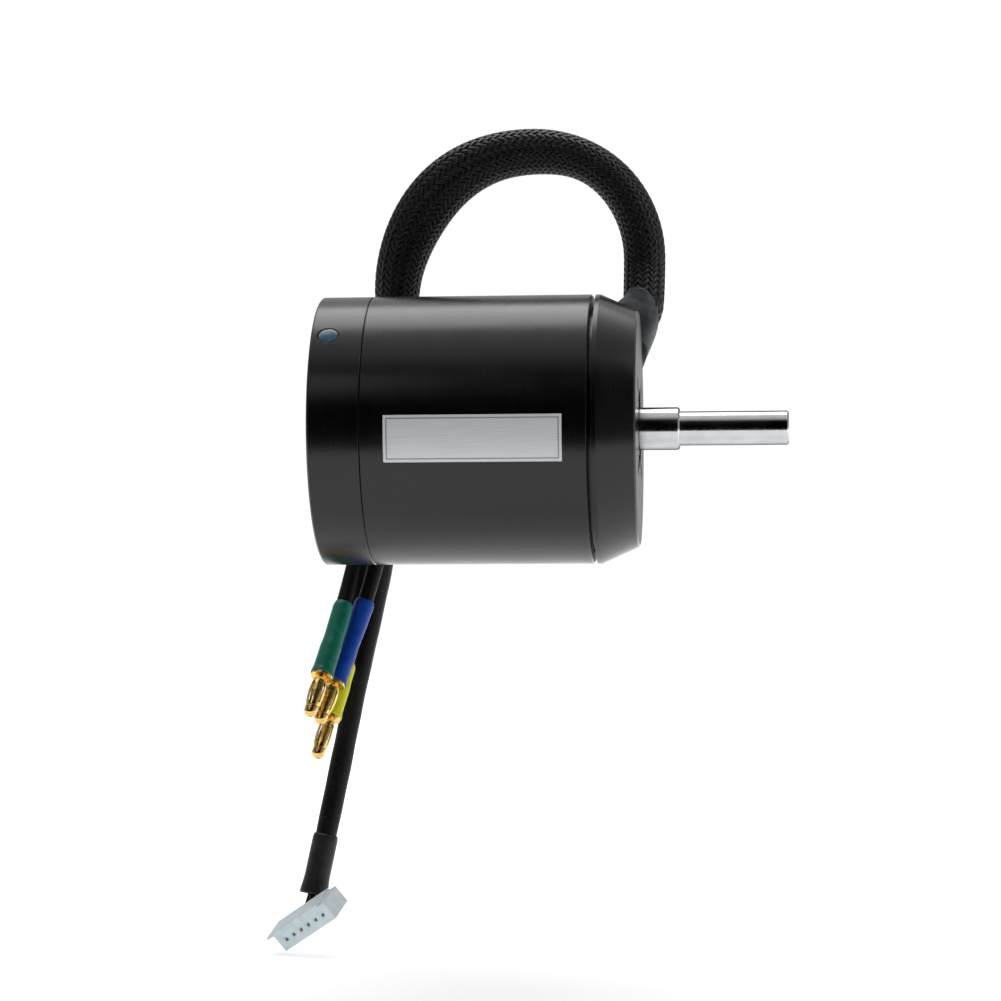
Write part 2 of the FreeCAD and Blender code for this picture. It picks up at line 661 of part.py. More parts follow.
def front_circlip():
    body = new_body("front_circlip")
    sketch = new_sketch(body, "CirclipSection")
    rear = "bearing_width - front_seat_depth"
    rectangle(sketch, rear, rear + " + circlip_thickness", "groove_radius + seat_gap", "circlip_radius")
    turn_about_x(body, "Circlip", sketch, angle="360 - circlip_gap_angle")
    turn_body(body, "240")


def rear_spacer():
    body = new_body("rear_spacer")
    turned(body, "Turning", [
        ("-seam", "shaft_radius + seat_gap"),
        ("-tube_end", "shaft_radius + seat_gap"),
        ("-tube_end", "spacer_radius"),
        ("-seam", "spacer_radius"),
    ])


def rear_cover():
    body = new_body("rear_cover")
    turned(body, "Turning", [
        ("-rear_face", "shaft_radius + seat_gap"),
        ("-rear_face", "dish_inner"),
        ("dish_depth - rear_face", "dish_inner + dish_depth"),
        ("dish_depth - rear_face", "dish_outer - dish_depth"),
        ("-rear_face", "dish_outer"),
        ("-rear_face", "can_radius - edge_break"),
        ("edge_break - rear_face", "can_radius"),
        ("-seam - edge_break / 2", "can_radius"),
        ("-seam", "can_radius - edge_break / 2"),
        ("-seam", "can_bore - seat_gap"),
        ("-tube_end", "can_bore - seat_gap"),
        ("-tube_end", "cover_cavity"),
        ("-web_front", "cover_cavity"),
        ("-web_front", "hub_radius"),
        ("-seam", "hub_radius"),
        ("-seam", "shaft_radius + seat_gap"),
    ])
    doc.recompute()
    solid_volume = body.Shape.Volume
    centre = new_sketch(body, "SetScrewCentre", "XY_Plane")
    circle(centre, "-set_screw_x", "0", "set_screw_hole")
    feature = extrude(body, "SetScrewHoles", centre, "2 * can_radius + 2", cut=True)
    feature.Midplane = True
    drill_checked(body, solid_volume, "SetScrewHoles")
    turn_body(body, "set_screw_angle - 90")


def rotor_can():
    body = new_body("rotor_can")
    turned(body, "Turning", [
        ("-seam", "can_bore"),
        ("-can_front", "can_bore"),
        ("-can_front", "can_radius - edge_break"),
        ("-can_front - edge_break", "can_radius"),
        ("-seam + edge_break / 2", "can_radius"),
        ("-seam", "can_radius - edge_break / 2"),
    ])


def magnets(label, turn):
    """The magnets of one polarity, bonded to the inside of the can."""
    body = new_body(label)
    sketch = new_sketch(body, "MagnetSection")
    rectangle(sketch, "-magnet_rear", "-magnet_front", "magnet_inner", "can_bore - seat_gap")
    magnet = turn_about_x(body, "Magnet", sketch, angle="magnet_angle")
    polar(body, "Magnets", [magnet], "pole_pairs")
    turn_body(body, turn)


def rear_cover_set_screws():
    """Two headless screws with hexagon sockets that clamp the cover on the shaft."""
    body = new_body("rear_cover_set_screws")
    sketch = new_sketch(body, "ScrewCentre", "XY_Plane", "screw_seat_radius + seat_gap")
    circle(sketch, "-set_screw_x", "0", "set_screw_radius")
    screw = extrude(body, "Screw", sketch, "set_screw_length")
    doc.recompute()
    solid_volume = body.Shape.Volume
    socket = new_sketch(body, "SocketOutline", "XY_Plane", "screw_seat_radius + set_screw_length")
    corners = [("hex_radius * cos(%d) - set_screw_x" % angle, "hex_radius * sin(%d)" % angle)
               for angle in range(0, 360, 60)]
    outline(socket, corners)
    recess = extrude(body, "Socket", socket, "set_screw_length / 3", cut=True)
    drill_checked(body, solid_volume, "Socket")
    polar(body, "Screws", [screw, recess], "2")
    turn_body(body, "set_screw_angle - 90")


def threadlock_seals():
    """A cap of thread-locking compound in the mouth of each set screw hole."""
    body = new_body("threadlock_seals")
    sketch = new_sketch(body, "SealCentre", "XY_Plane", "can_radius - seal_depth - 0.05")
    circle(sketch, "-set_screw_x", "0", "set_screw_hole - 0.05")
    seal = extrude(body, "Seal", sketch, "seal_depth")
    polar(body, "Seals", [seal], "2")
    turn_body(body, "set_screw_angle - 90")


def can_label():
    body = new_body("can_label")
    sketch = new_sketch(body, "LabelSection")
    rectangle(sketch, "-label_rear", "-label_front", "can_radius + seat_gap",
              "can_radius + seat_gap + label_thickness")
    turn_about_x(body, "Label", sketch, angle="label_angle")
    turn_body(body, "label_turn")


# ---------------------------------------------------------------- cable paths

def exit_directions():
    """Outwards through the exit slot, and along the slot towards its lower end."""
    angle = math.radians(size("exit_angle"))
    outwards = Vector(0, math.cos(angle), math.sin(angle))
    downwards = Vector(0, math.sin(angle), -math.cos(angle))
    return outwards, downwards


def smooth(value):
    """0 before 0, 1 after 1, and a soft step between."""
    value = min(max(value, 0.0), 1.0)
    return value * value * (3 - 2 * value)


def bend_length():
    """Length of the bundle's bend outside the cone."""
    return size("exit_bend") * math.radians(90 - size("exit_angle"))


def rise_point(distance):
    """Centre of the bundle outside the cone: straight out, round the bend, then up to the loop."""
    outwards, downwards = exit_directions()
    bend = size("exit_bend")
    start = outwards * size("exit_bend_start")
    centre = start - downwards * bend
    if distance < 0:
        point = start + outwards * distance
    elif distance < bend_length():
        angle = distance / bend
        point = centre + downwards * (bend * math.cos(angle)) + outwards * (bend * math.sin(angle))
    else:
        point = centre + ALONG_Y * bend + ALONG_Z * (distance - bend_length())
    rise = max(distance - bend_length(), 0.0)
    total_rise = size("loop_front_height") - centre.z
    drift = smooth((distance + 1.5) / (bend_length() + 0.45 * total_rise))
    point.x = -size("exit_x") + drift * (size("exit_x") - size("loop_front_x"))
    point.y += smooth(rise / total_rise) * (size("loop_front_depth") - centre.y - bend)
    return point


def loop_point(turn):
    """Centre of the bundle on the loop: turn 0 at its front, 90 on top, 180 at its rear."""
    angle = math.radians(turn)
    top_x = -size("loop_top_x")
    if turn < 90:
        half_width = -size("loop_front_x") - top_x
        base = size("loop_front_height")
    else:
        half_width = top_x + size("loop_rear_x")
        base = size("loop_rear_height")
    depth_gain = size("loop_rear_depth") - size("loop_front_depth")
    return Vector(top_x + half_width * math.cos(angle),
                  size("loop_front_depth") + depth_gain * turn / 180,
                  base + (size("loop_top") - base) * math.sin(angle))


def fall_point(height):
    """Centre of the bundle where it hangs down behind the motor."""
    drop = size("loop_rear_height") - height
    return Vector(-size("loop_rear_x") - size("fall_rate") * drop * drop, size("loop_rear_depth"), height)


def heading(path, place, forwards=1):
    """Direction of travel of a path function at a place."""
    step = 0.05 * forwards
    return (path(place + step) - path(place - step)).normalize()


def twist_at(distance):
    """How far the row of leads has turned into a square: 0 to 1."""
    twist_start = bend_length() + size("sleeve_start") - 1.0 - size("twist_length")
    return smooth((distance - twist_start) / size("twist_length"))


def bundle_stations():
    """(point, heading, twist) along the bundle, from inside the exit slot to the sleeve's end."""
    rise_end = bend_length() + size("loop_front_height") - rise_point(bend_length()).z
    first = -6.0
    steps = 12
    stations = []
    for i in range(steps):
        distance = first + (rise_end - first) * i / steps
        stations.append((rise_point(distance), heading(rise_point, distance), twist_at(distance)))
    for turn in range(0, 180, 15):
        stations.append((loop_point(turn), heading(loop_point, turn), 1.0))
    fall_steps = 8
    fall = size("loop_rear_height") - size("sleeve_end_z")
    for i in range(fall_steps + 1):
        height = size("loop_rear_height") - fall * i / fall_steps
        stations.append((fall_point(height), heading(fall_point, height, -1), 1.0))
    return stations


def across(direction):
    """(inward, aside) across a direction of travel; aside stays as close to +Y as it can."""
    inward = direction.cross(ALONG_Y).normalize()
    return inward, inward.cross(direction).normalize()


def headings(points):
    """Direction of travel at each of a row of points."""
    last = len(points) - 1
    return [(points[min(i + 1, last)] - points[max(i - 1, 0)]).normalize() for i in range(len(points))]


def lane_offset(lane, twist):
    """Offset (inward, aside) of a lead: lanes 0-3 lie in a row, then as two pairs in a square."""
    half = size("lead_pitch") / 2
    angle = math.radians(90 * twist)
    far_pair = lane >= 2
    pair_middle = half * (2 - twist * twist) * (1 if far_pair else -1)
    sign = 1 if lane % 2 else -1
    return sign * half * math.sin(angle), pair_middle + sign * half * math.cos(angle)


def lane_points(lane):
    points = []
    for point, direction, twist in bundle_stations():
        inward, aside = across(direction)
        offset_in, offset_aside = lane_offset(lane, twist)
        points.append(point + inward * offset_in + aside * offset_aside)
    return points


def lane_leaving(bundled):
    """Which way a lead leaves the sleeve: on down, and a little away from its neighbours."""
    offset = bundled[-1] - fall_point(size("sleeve_end_z"))
    aside = Vector(offset.x * size("lead_spread_x"), offset.y * size("lead_spread"), 0)
    return ((bundled[-1] - bundled[-2]).normalize() + aside).normalize()


def phase_lead_start(lane):
    """From the coils forwards, then round an elbow into the exit slot."""
    outwards, downwards = exit_directions()
    offset = downwards * lane_offset(lane, 0)[1]
    elbow = size("lead_elbow")
    circle_radius = size("lead_circle")
    elbow_x = -size("exit_x") - elbow
    points = [Vector(-size("lead_start_x"), 0, 0) + outwards * circle_radius + offset]
    for degrees in (0, 45, 90):
        angle = math.radians(degrees)
        points.append(Vector(elbow_x + elbow * math.sin(angle), 0, 0)
                      + outwards * (circle_radius + elbow * (1 - math.cos(angle))) + offset)
    return points


def bezier(start, start_direction, end, end_direction, steps):
    """Points after the start of a curve that leaves and arrives in the given directions."""
    reach = (end - start).Length * 0.38
    poles = [start, start + start_direction * reach, end - end_direction * reach, end]
    curve = Part.BezierCurve()
    curve.setPoles(poles)
    return [curve.value((i + 1) / steps) for i in range(steps)]


def smooth_curve(points):
    curve = Part.BSplineCurve()
    curve.interpolate(points)
    return curve


# Each phase plug: the collar's front face, and the way its nose points.
PLUG_PLACES = {
    0: (Vector(-77.6, 16.5, -58.3), Vector(-0.20, -0.51, -0.84)),
    1: (Vector(-75.4, 22.2, -60.2), Vector(-0.27, -0.47, -0.84)),
    2: (Vector(-77.2, 26.9, -68.6), Vector(-0.22, -0.46, -0.86)),
}
SENSOR_LANE = 3
# The sensor cable: a point on its way down, its end, and the way it points there.
SENSOR_CABLE_MIDDLE = Vector(-73.5, 43.0, -64.8)
SENSOR_CABLE_END = Vector(-82.4, 38.2, -110.5)
SENSOR_CABLE_DIRECTION = Vector(-0.19, -0.14, -0.97)
# The sensor plug: middle of its mating face, its row of contacts and the way it mates.
PLUG_FACE = Vector(-83.1, 26.0, -119.3)
PLUG_ROW = Vector(0.770, -0.378, 0.515)
PLUG_AXIS = Vector(-0.190, -0.905, -0.380)


def lead_curve(lane):
    """The whole path of a phase lead, from the coils into its plug's barrel."""
    collar, nose = PLUG_PLACES[lane]
    nose = Vector(nose).normalize()
    bundled = lane_points(lane)
    leaving = lane_leaving(bundled)
    barrel_back = collar - nose * (size("collar_length") + size("barrel_length"))
    soldered = collar - nose * (size("collar_length") + size("barrel_length") / 2)
    fanned = bezier(bundled[-1], leaving, barrel_back, nose, 8)
    return smooth_curve(phase_lead_start(lane) + bundled + fanned + [soldered])


def sensor_bundle_points():
    """Middle of the six sensor wires, from the sensor board to the end of the cable."""
    outwards, downwards = exit_directions()
    start_x = -size("plate_thickness") - size("board_thickness") - size("wire_circle") - size("wire_radius") - 0.3
    board_end = size("board_turn") + size("board_angle") / 2
    slot_offset = downwards * lane_offset(SENSOR_LANE, 0)[1]
    points = []
    for degrees in (board_end - 362, board_end - 345, board_end - 328):
        angle = math.radians(degrees)
        points.append(Vector(start_x, 21 * math.cos(angle), 21 * math.sin(angle)))
    points.append(Vector(-size("exit_x") - 0.3, 0, 0) + outwards * 22.8 + slot_offset)
    bundled = lane_points(SENSOR_LANE)
    leaving = lane_leaving(bundled)
    end_direction = Vector(SENSOR_CABLE_DIRECTION).normalize()
    middle_direction = (SENSOR_CABLE_END - bundled[-1]).normalize()
    down = bezier(bundled[-1], leaving, SENSOR_CABLE_MIDDLE, middle_direction, 6)
    down += bezier(SENSOR_CABLE_MIDDLE, middle_direction, SENSOR_CABLE_END, end_direction, 6)
    return points + bundled + down, len(points) + len(bundled)


def sensor_wire_curve(number):
    """One of the six wires: round the bundle's middle, then fanned out to its contact."""
    middle, fan_start = sensor_bundle_points()
    directions = headings(middle)
    axis = Vector(PLUG_AXIS).normalize()
    row = Vector(PLUG_ROW).normalize()
    inward, aside = across(directions[-1])
    row_turn = math.atan2(row.dot(aside), row.dot(inward))
    places_in_ring = (180, 120, 240, 60, 300, 0)
    angle = row_turn + math.radians(places_in_ring[number])
    ring = size("wire_circle")
    points = []
    for point, direction in zip(middle, directions):
        inward, aside = across(direction)
        points.append(point + inward * (ring * math.cos(angle)) + aside * (ring * math.sin(angle)))
    place = number - (size("wire_count") - 1) / 2
    back = PLUG_FACE - axis * size("plug_height") + row * (place * size("plug_pitch"))
    leaving = Vector(SENSOR_CABLE_DIRECTION).normalize()
    entered = back + axis * (size("entry_depth") - 0.1)
    return smooth_curve(points + bezier(points[-1], leaving, back, axis, 8) + [entered])


# ---------------------------------------------------------------- swept parts

def path_wire(curve, first, last):
    """The stretch of a curve between two parameters, as a chain of short edges that sweep cleanly."""
    length = curve.length(first, last)
    count = max(1, math.ceil(length / size("sweep_step")))
    stops = [curve.parameterAtDistance(length * i / count, first) for i in range(count)] + [last]
    return Part.Wire([curve.toShape(start, end) for start, end in zip(stops, stops[1:])])


def sweep(name, curve, radius, first=None, last=None):
    """A round bar along a curve, or along the stretch between two of its parameters."""
    first = curve.FirstParameter if first is None else first
    last = curve.LastParameter if last is None else last
    spine = doc.addObject("Part::Feature", name + "Spine")
    spine.Shape = path_wire(curve, first, last)
    ring = doc.addObject("Part::Circle", name + "Ring")
    bind(ring, "Radius", radius)
    heading = curve.tangent(first)[0]
    ring.Placement = FreeCAD.Placement(curve.value(first), FreeCAD.Rotation(ALONG_Z, heading))
    bar = doc.addObject("Part::Sweep", name)
    bar.Sections = [ring]
    bar.Spine = (spine, ["Edge%d" % (i + 1) for i in range(len(spine.Shape.Edges))])
    bar.Solid = True
    bar.Frenet = False
    doc.recompute()
    expected = curve.length(first, last) * math.pi * size(radius) ** 2
    if abs(bar.Shape.Volume / expected - 1) > 0.01:
        raise ValueError("%s has the wrong volume" % name)
    return bar


def tube(name, curve, outer, bore, first=None, last=None):
    wall = doc.addObject("Part::Cut", name)
    wall.Base = sweep(name + "Outside", curve, outer, first, last)
    wall.Tool = sweep(name + "Inside", curve, bore, first, last)
    return wall


def phase_leads():
    for lane, phase in enumerate("abc"):
        keep(sweep("PhaseLead" + phase.upper(), lead_curve(lane), "lead_radius"), "phase_lead_" + phase)


def sensor_wires():
    """Six insulated wires that share one node."""
    wires = [sweep("SensorWire%d" % number, sensor_wire_curve(number), "wire_radius")
             for number in range(int(size("wire_count")))]
    doc.recompute()
    group = doc.addObject("Part::Compound", "SensorWires")
    group.Links = wires
    keep(group, "sensor_wires")


def bundle_curve():
    """Middle of the whole bundle, and the parameter at the end of the bend by the cone."""
    curve = smooth_curve([station[0] for station in bundle_stations()])
    return curve, curve.parameter(rise_point(bend_length()))


def along(curve, start, distance):
    return curve.parameterAtDistance(distance, start)


def cable_sleeve():
    curve, bend_end = bundle_curve()
    first = along(curve, bend_end, size("sleeve_start"))
    keep(tube("CableSleeve", curve, "sleeve_radius", "sleeve_bore", first), "cable_sleeve")


def sleeve_end_wrap():
    curve, bend_end = bundle_curve()
    last = along(curve, curve.LastParameter, -1.0)
    first = along(curve, last, -size("wrap_length"))
    keep(tube("SleeveEndWrap", curve, "wrap_radius", "sleeve_radius + 0.05", first, last), "sleeve_end_wrap")


def sensor_cable():
    """The jacket over the six wires below the sleeve, and the wider end sleeve over it."""
    middle, fan_start = sensor_bundle_points()
    curve = smooth_curve(middle)
    start = curve.parameter(middle[fan_start - 1])
    first = along(curve, start, size("jacket_gap"))
    last = curve.LastParameter
    jacket_end = along(curve, last, size("mouth_overlap") - size("mouth_length"))
    mouth_start = along(curve, last, -size("mouth_length"))
    keep(tube("SensorCableJacket", curve, "jacket_radius", "jacket_bore", first, jacket_end),
         "sensor_cable_jacket")
    keep(tube("SensorCableEndSleeve", curve, "mouth_radius", "jacket_radius + 0.05", mouth_start, last),
         "sensor_cable_end_sleeve")


def heat_shrinks():
    """Coloured sleeves that cover each phase plug's barrel and the end of its lead."""
    for lane, colour in enumerate(("green", "blue", "yellow")):
        curve = lead_curve(lane)
        collar, nose = PLUG_PLACES[lane]
        nose = Vector(nose).normalize()
        barrel_front = collar - nose * size("collar_length")
        barrel_back = barrel_front - nose * size("barrel_length")
        lead_end = curve.parameter(barrel_back)
        lead_start = along(curve, lead_end, -11.0)
        bent = [curve.value(lead_start + (lead_end - lead_start) * i / 3) for i in range(4)]
        path = smooth_curve(bent + [barrel_back + nose * 4, barrel_front - nose * 0.05])
        keep(tube(colour.title() + "HeatShrink", path, "shrink_radius", "shrink_bore"),
             colour + "_heat_shrink")


def placed_copies(label, master, placements):
    """One node that holds the same piece at several places."""
    doc.recompute()
    copies = []
    for placement in placements:
        copy = master.Shape.copy()
        copy.Placement = placement.multiply(copy.Placement)
        copies.append(copy)
    group = doc.addObject("Part::Feature", label.title().replace("_", ""))
    group.Shape = Part.makeCompound(copies)
    keep(group, label)


def plug_placements():
    placements = []
    for collar, nose in PLUG_PLACES.values():
        placements.append(FreeCAD.Placement(collar, FreeCAD.Rotation(ALONG_X, Vector(nose).normalize())))
    return placements


def hidden_body(name):
    """A body that is only copied from, and isn't a sub-part itself."""
    body = doc.addObject("PartDesign::Body", name)
    body.AllowCompound = True
    return body


def phase_plug_pins():
    """Barrel, collar, core and rounded nose; X runs out of the collar."""
    body = hidden_body("PhasePlugPin")
    cup = "lead_radius + 0.03"
    turned(body, "Turning", [
        ("-collar_length - barrel_length / 2 + 0.1", "0"),
        ("plug_length - plug_nose_radius", "0"),
        ("plug_length - plug_nose_radius", "plug_nose_radius"),
        ("spring_start + spring_length + 0.3", "plug_nose_radius"),
        ("spring_start + spring_length + 0.3", "plug_core"),
        ("0", "plug_core"),
        ("0", "collar_radius"),
        ("-collar_length", "collar_radius"),
        ("-collar_length", "barrel_radius"),
        ("-collar_length - barrel_length", "barrel_radius"),
        ("-collar_length - barrel_length", cup),
        ("-collar_length - barrel_length / 2 + 0.1", cup),
    ])
    dome = new_sketch(body, "NoseOutline")
    radius = size("plug_nose_radius")
    centre = Vector(size("plug_length") - radius, 0, 0)
    dome.addGeometry(Part.ArcOfCircle(Part.Circle(centre, ALONG_Z, radius), 0, math.pi / 2), False)
    dome.addGeometry(Part.LineSegment(centre + ALONG_Y * radius, centre), False)
    dome.addGeometry(Part.LineSegment(centre, centre + ALONG_X * radius), False)
    for first, second in ((0, 1), (1, 2)):
        dome.addConstraint(Sketcher.Constraint("Coincident", first, 2, second, 1))
    dome.addConstraint(Sketcher.Constraint("Coincident", 2, 2, 0, 1))
    dome.addConstraint(Sketcher.Constraint("Coincident", 0, 3, 1, 2))
    hold(dome, 0, 3, "plug_length - plug_nose_radius", "0")
    hold(dome, 0, 1, "plug_length", "0")
    dome.addConstraint(Sketcher.Constraint("Vertical", 1))
    turn_about_x(body, "Nose", dome)
    placed_copies("phase_plug_pins", body, plug_placements())


def phase_plug_springs():
    """A slotted barrel spring round the core of each phase plug."""
    body = hidden_body("PhasePlugSpring")
    sketch = new_sketch(body, "SpringSection")
    start = "spring_start"
    end = "spring_start + spring_length"
    middle = "spring_start + spring_length / 2"
    third = "spring_length / 4"
    rise = [(start, "spring_end"), (middle + " - " + third, "spring_bulge - 0.1"), (middle, "spring_bulge"),
            (middle + " + " + third, "spring_bulge - 0.1"), (end, "spring_end")]
    inside = [(across, up + " - spring_wall") for across, up in reversed(rise)]
    outline(sketch, rise + inside)
    turn_about_x(body, "Barrel", sketch)
    doc.recompute()
    solid_volume = body.Shape.Volume
    slot = new_sketch(body, "SlotOutline", "XY_Plane", "0.5")
    rectangle(slot, "spring_start + 1", "spring_start + spring_length - 1",
              "-spring_slot / 2", "spring_slot / 2")
    cut = extrude(body, "Slot", slot, "3", cut=True, backwards=True)
    polar(body, "Slots", [cut], "spring_slots")
    drill_checked(body, solid_volume, "Slots")
    placed_copies("phase_plug_springs", body, plug_placements())


# ---------------------------------------------------------------- cable exit parts

def cable_grommet():
    """Rubber block in the exit slot with a hole for each lead."""
    block = doc.addObject("Part::Box", "GrommetBlock")
    bind(block, "Length", "2 * slot_half_width - 0.04")
    bind(block, "Width", "grommet_outer - grommet_inner")
    bind(block, "Height", "2 * slot_half_length - 0.04")
    bind(block, "Placement.Base.x", "0.02 - exit_x - slot_half_width")
    bind(block, "Placement.Base.y", "grommet_inner")
    bind(block, "Placement.Base.z", "0.02 - slot_half_length")
    holes = []
    for lane in range(4):
        hole = doc.addObject("Part::Cylinder", "GrommetHole%d" % lane)
        hole.Placement = FreeCAD.Placement(Vector(), FreeCAD.Rotation(ALONG_X, -90))
        bind(hole, "Radius", "lead_radius + 0.12")
        bind(hole, "Height", "grommet_outer + 1")
        bind(hole, "Placement.Base.x", "-exit_x")
        bind(hole, "Placement.Base.z", "lead_pitch * (1.5 - %d)" % lane)
        holes.append(hole)
    joined = doc.addObject("Part::MultiFuse", "GrommetHoles")
    joined.Shapes = holes
    grommet = doc.addObject("Part::Cut", "CableGrommet")
    grommet.Base = block
    grommet.Tool = joined
    grommet.Placement = FreeCAD.Placement(Vector(), FreeCAD.Rotation(ALONG_X, size("exit_angle")))
    bind(grommet, "Placement.Rotation.Angle", "exit_angle")
    keep(grommet, "cable_grommet")


def oval(point, inward, aside, half_width, half_length, squareness):
    """A closed rounded outline; a larger squareness fills its corners more."""
    points = []
    steps = 24
    for i in range(steps):
        angle = 2 * math.pi * i / steps
        across, up = math.cos(angle), math.sin(angle)
        points.append(point
                      + inward * (half_width * math.copysign(abs(across) ** squareness, across))
                      + aside * (half_length * math.copysign(abs(up) ** squareness, up)))
    curve = Part.BSplineCurve()
    curve.interpolate(points, PeriodicFlag=True)
    return Part.Wire([curve.toShape()])


def boot_section(distance, wall):
    """(half width, half length, squareness) of the boot's inside, or of its outside with a wall."""
    twist = twist_at(distance)
    offsets = [lane_offset(lane, twist) for lane in range(4)]
    room = size("lead_radius") + size("boot_play")
    half_width = max(abs(offset_in) for offset_in, offset_aside in offsets) + room
    half_length = max(abs(offset_aside) for offset_in, offset_aside in offsets) + room
    sleeve_at = bend_length() + size("sleeve_start")
    change = smooth((distance - sleeve_at + 5.0) / 4.0)
    round_radius = size("sleeve_radius") + size("boot_clearance")
    half_width += (round_radius - half_width) * change
    half_length += (round_radius - half_length) * change
    return half_width + wall, half_length + wall, 0.5 + 0.5 * change


def exit_boot():
    """Moulded sleeve from the cone to the braid, flat at the cone and round at its top."""
    first = size("grommet_outer") + 0.2 - size("exit_bend_start")
    last = bend_length() + size("boot_top")
    steps = 14
    distances = [first + (last - first) * i / steps for i in range(steps + 1)]
    shells = []
    for wall in (size("boot_wall"), 0.0):
        sections = []
        for distance in distances:
            inward, aside = across(heading(rise_point, distance))
            sections.append(oval(rise_point(distance), inward, aside, *boot_section(distance, wall)))
        shells.append(Part.makeLoft(sections, True))
    cone = Part.makeCone(size("can_radius") + 0.05, size("face_radius") + 0.05, size("cone_length"),
                         Vector(-size("cone_length"), 0, 0), ALONG_X)
    land = Part.makeCylinder(size("can_radius") + 0.05, size("can_front"),
                             Vector(-size("cone_length") - size("can_front"), 0, 0), ALONG_X)
    boot = doc.addObject("Part::Feature", "ExitBoot")
    boot.Shape = shells[0].cut(shells[1]).cut(cone.fuse(land))
    keep(boot, "exit_boot")


# ---------------------------------------------------------------- sensor plug

def plug_placement():
    axis = Vector(PLUG_AXIS).normalize()
    row = Vector(PLUG_ROW).normalize()
    rotation = FreeCAD.Rotation(row, axis.cross(row), axis, "XZY")
    return FreeCAD.Placement(PLUG_FACE, rotation)


def sensor_plug_housing():
    """White housing; Z runs out of its mating face, X along its row of cavities."""
    body = new_body("sensor_plug_housing")
    base = new_sketch(body, "HousingOutline", "XY_Plane", "-plug_height")
    half = "plug_width / 2"
    thick = "plug_thickness / 2"
    key = "plug_width / 2 - 2"
    outline(base, [
        ("-" + half, "-" + thick), (half, "-" + thick), (half, thick),
        (key, thick), (key, thick + " + 0.6"), ("-" + key, thick + " + 0.6"), ("-" + key, thick),
        ("-" + half, thick),
    ])
    extrude(body, "Housing", base, "plug_height")
    doc.recompute()
    solid_volume = body.Shape.Volume
    first = "-plug_pitch * (wire_count - 1) / 2"
    cavity = new_sketch(body, "CavityOutline", "XY_Plane")
    rectangle(cavity, first + " - contact_half", first + " + contact_half", "-contact_half", "contact_half")
    entry = new_sketch(body, "WireEntryOutline", "XY_Plane", "-plug_height")
    circle(entry, first, "0", "wire_radius + 0.15")
    cavities = [extrude(body, "Cavity", cavity, "plug_height - entry_depth", cut=True),
                extrude(body, "WireEntry", entry, "entry_depth", cut=True, backwards=True)]
    row = body.newObject("PartDesign::LinearPattern", "CavityRow")
    row.Originals = cavities
    row.Direction = (origin_item(body, "X_Axis"), [""])
    row.Length = size("plug_pitch * (wire_count - 1)")
    bind(row, "Length", "plug_pitch * (wire_count - 1)")
    row.Occurrences = int(size("wire_count"))
    bind(row, "Occurrences", "wire_count")
    body.Tip = row
    drill_checked(body, solid_volume, "CavityRow")
    body.Placement = plug_placement()


def sensor_plug_contacts():
    """Six square contact boxes in the plug's cavities."""
    body = new_body("sensor_plug_contacts")
    rear = "entry_depth - plug_height + 0.2"
    sketch = new_sketch(body, "ContactOutline", "XY_Plane", rear)
    first = "-plug_pitch * (wire_count - 1) / 2"
    for half in ("contact_half - 0.06", "contact_half - 0.22"):
        rectangle(sketch, "%s - (%s)" % (first, half), "%s + %s" % (first, half),
                  "-(%s)" % half, half)
    contact = extrude(body, "Contact", sketch, "contact_length")
    row = body.newObject("PartDesign::LinearPattern", "ContactRow")
    row.Originals = [contact]
    row.Direction = (origin_item(body, "X_Axis"), [""])
    row.Length = size("plug_pitch * (wire_count - 1)")
    bind(row, "Length", "plug_pitch * (wire_count - 1)")
    row.Occurrences = int(size("wire_count"))
    bind(row, "Occurrences", "wire_count")
    body.Tip = row
    body.Placement = plug_placement()


# ---------------------------------------------------------------- build and write

front_mount()
stator_core()
end_insulator("front_end_insulator", "insulator_thickness - core_front")
end_insulator("rear_end_insulator", "-core_rear")
phase_coils("phase_a_coils", "0")
phase_coils("phase_b_coils", "60")
phase_coils("phase_c_coils", "120")
sensor_board()
sensor_board_screws()
hall_sensors()
temperature_sensor()
bearing("front", "(bearing_width / 2 - front_seat_depth)")
bearing("rear", "(bearing_width / 2 - tube_end)")
shaft()
front_circlip()
rear_spacer()
rear_cover()
rotor_can()
magnets("magnets_north", "0")
magnets("magnets_south", "180 / pole_pairs")
rear_cover_set_screws()
threadlock_seals()
can_label()
cable_grommet()
exit_boot()
phase_leads()
sensor_wires()
cable_sleeve()
sleeve_end_wrap()
sensor_cable()
heat_shrinks()
phase_plug_pins()
phase_plug_springs()
sensor_plug_housing()
sensor_plug_contacts()

doc.recompute()
for item in doc.Objects:
    if "Invalid" in item.State or "Error" in item.State:
        raise ValueError("%s failed: %s" % (item.Label, item.State))
for item in sub_parts:
    if item.Shape.isNull() or not item.Shape.isValid() or not item.Shape.Solids:
        raise ValueError("%s has no valid solid" % item.Label)
for item in sub_parts:
    item.Shape.exportStep("parts/%s.step" % item.Label)
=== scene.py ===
import json
import math

import bpy
import numpy as np
from mathutils import Matrix, Vector


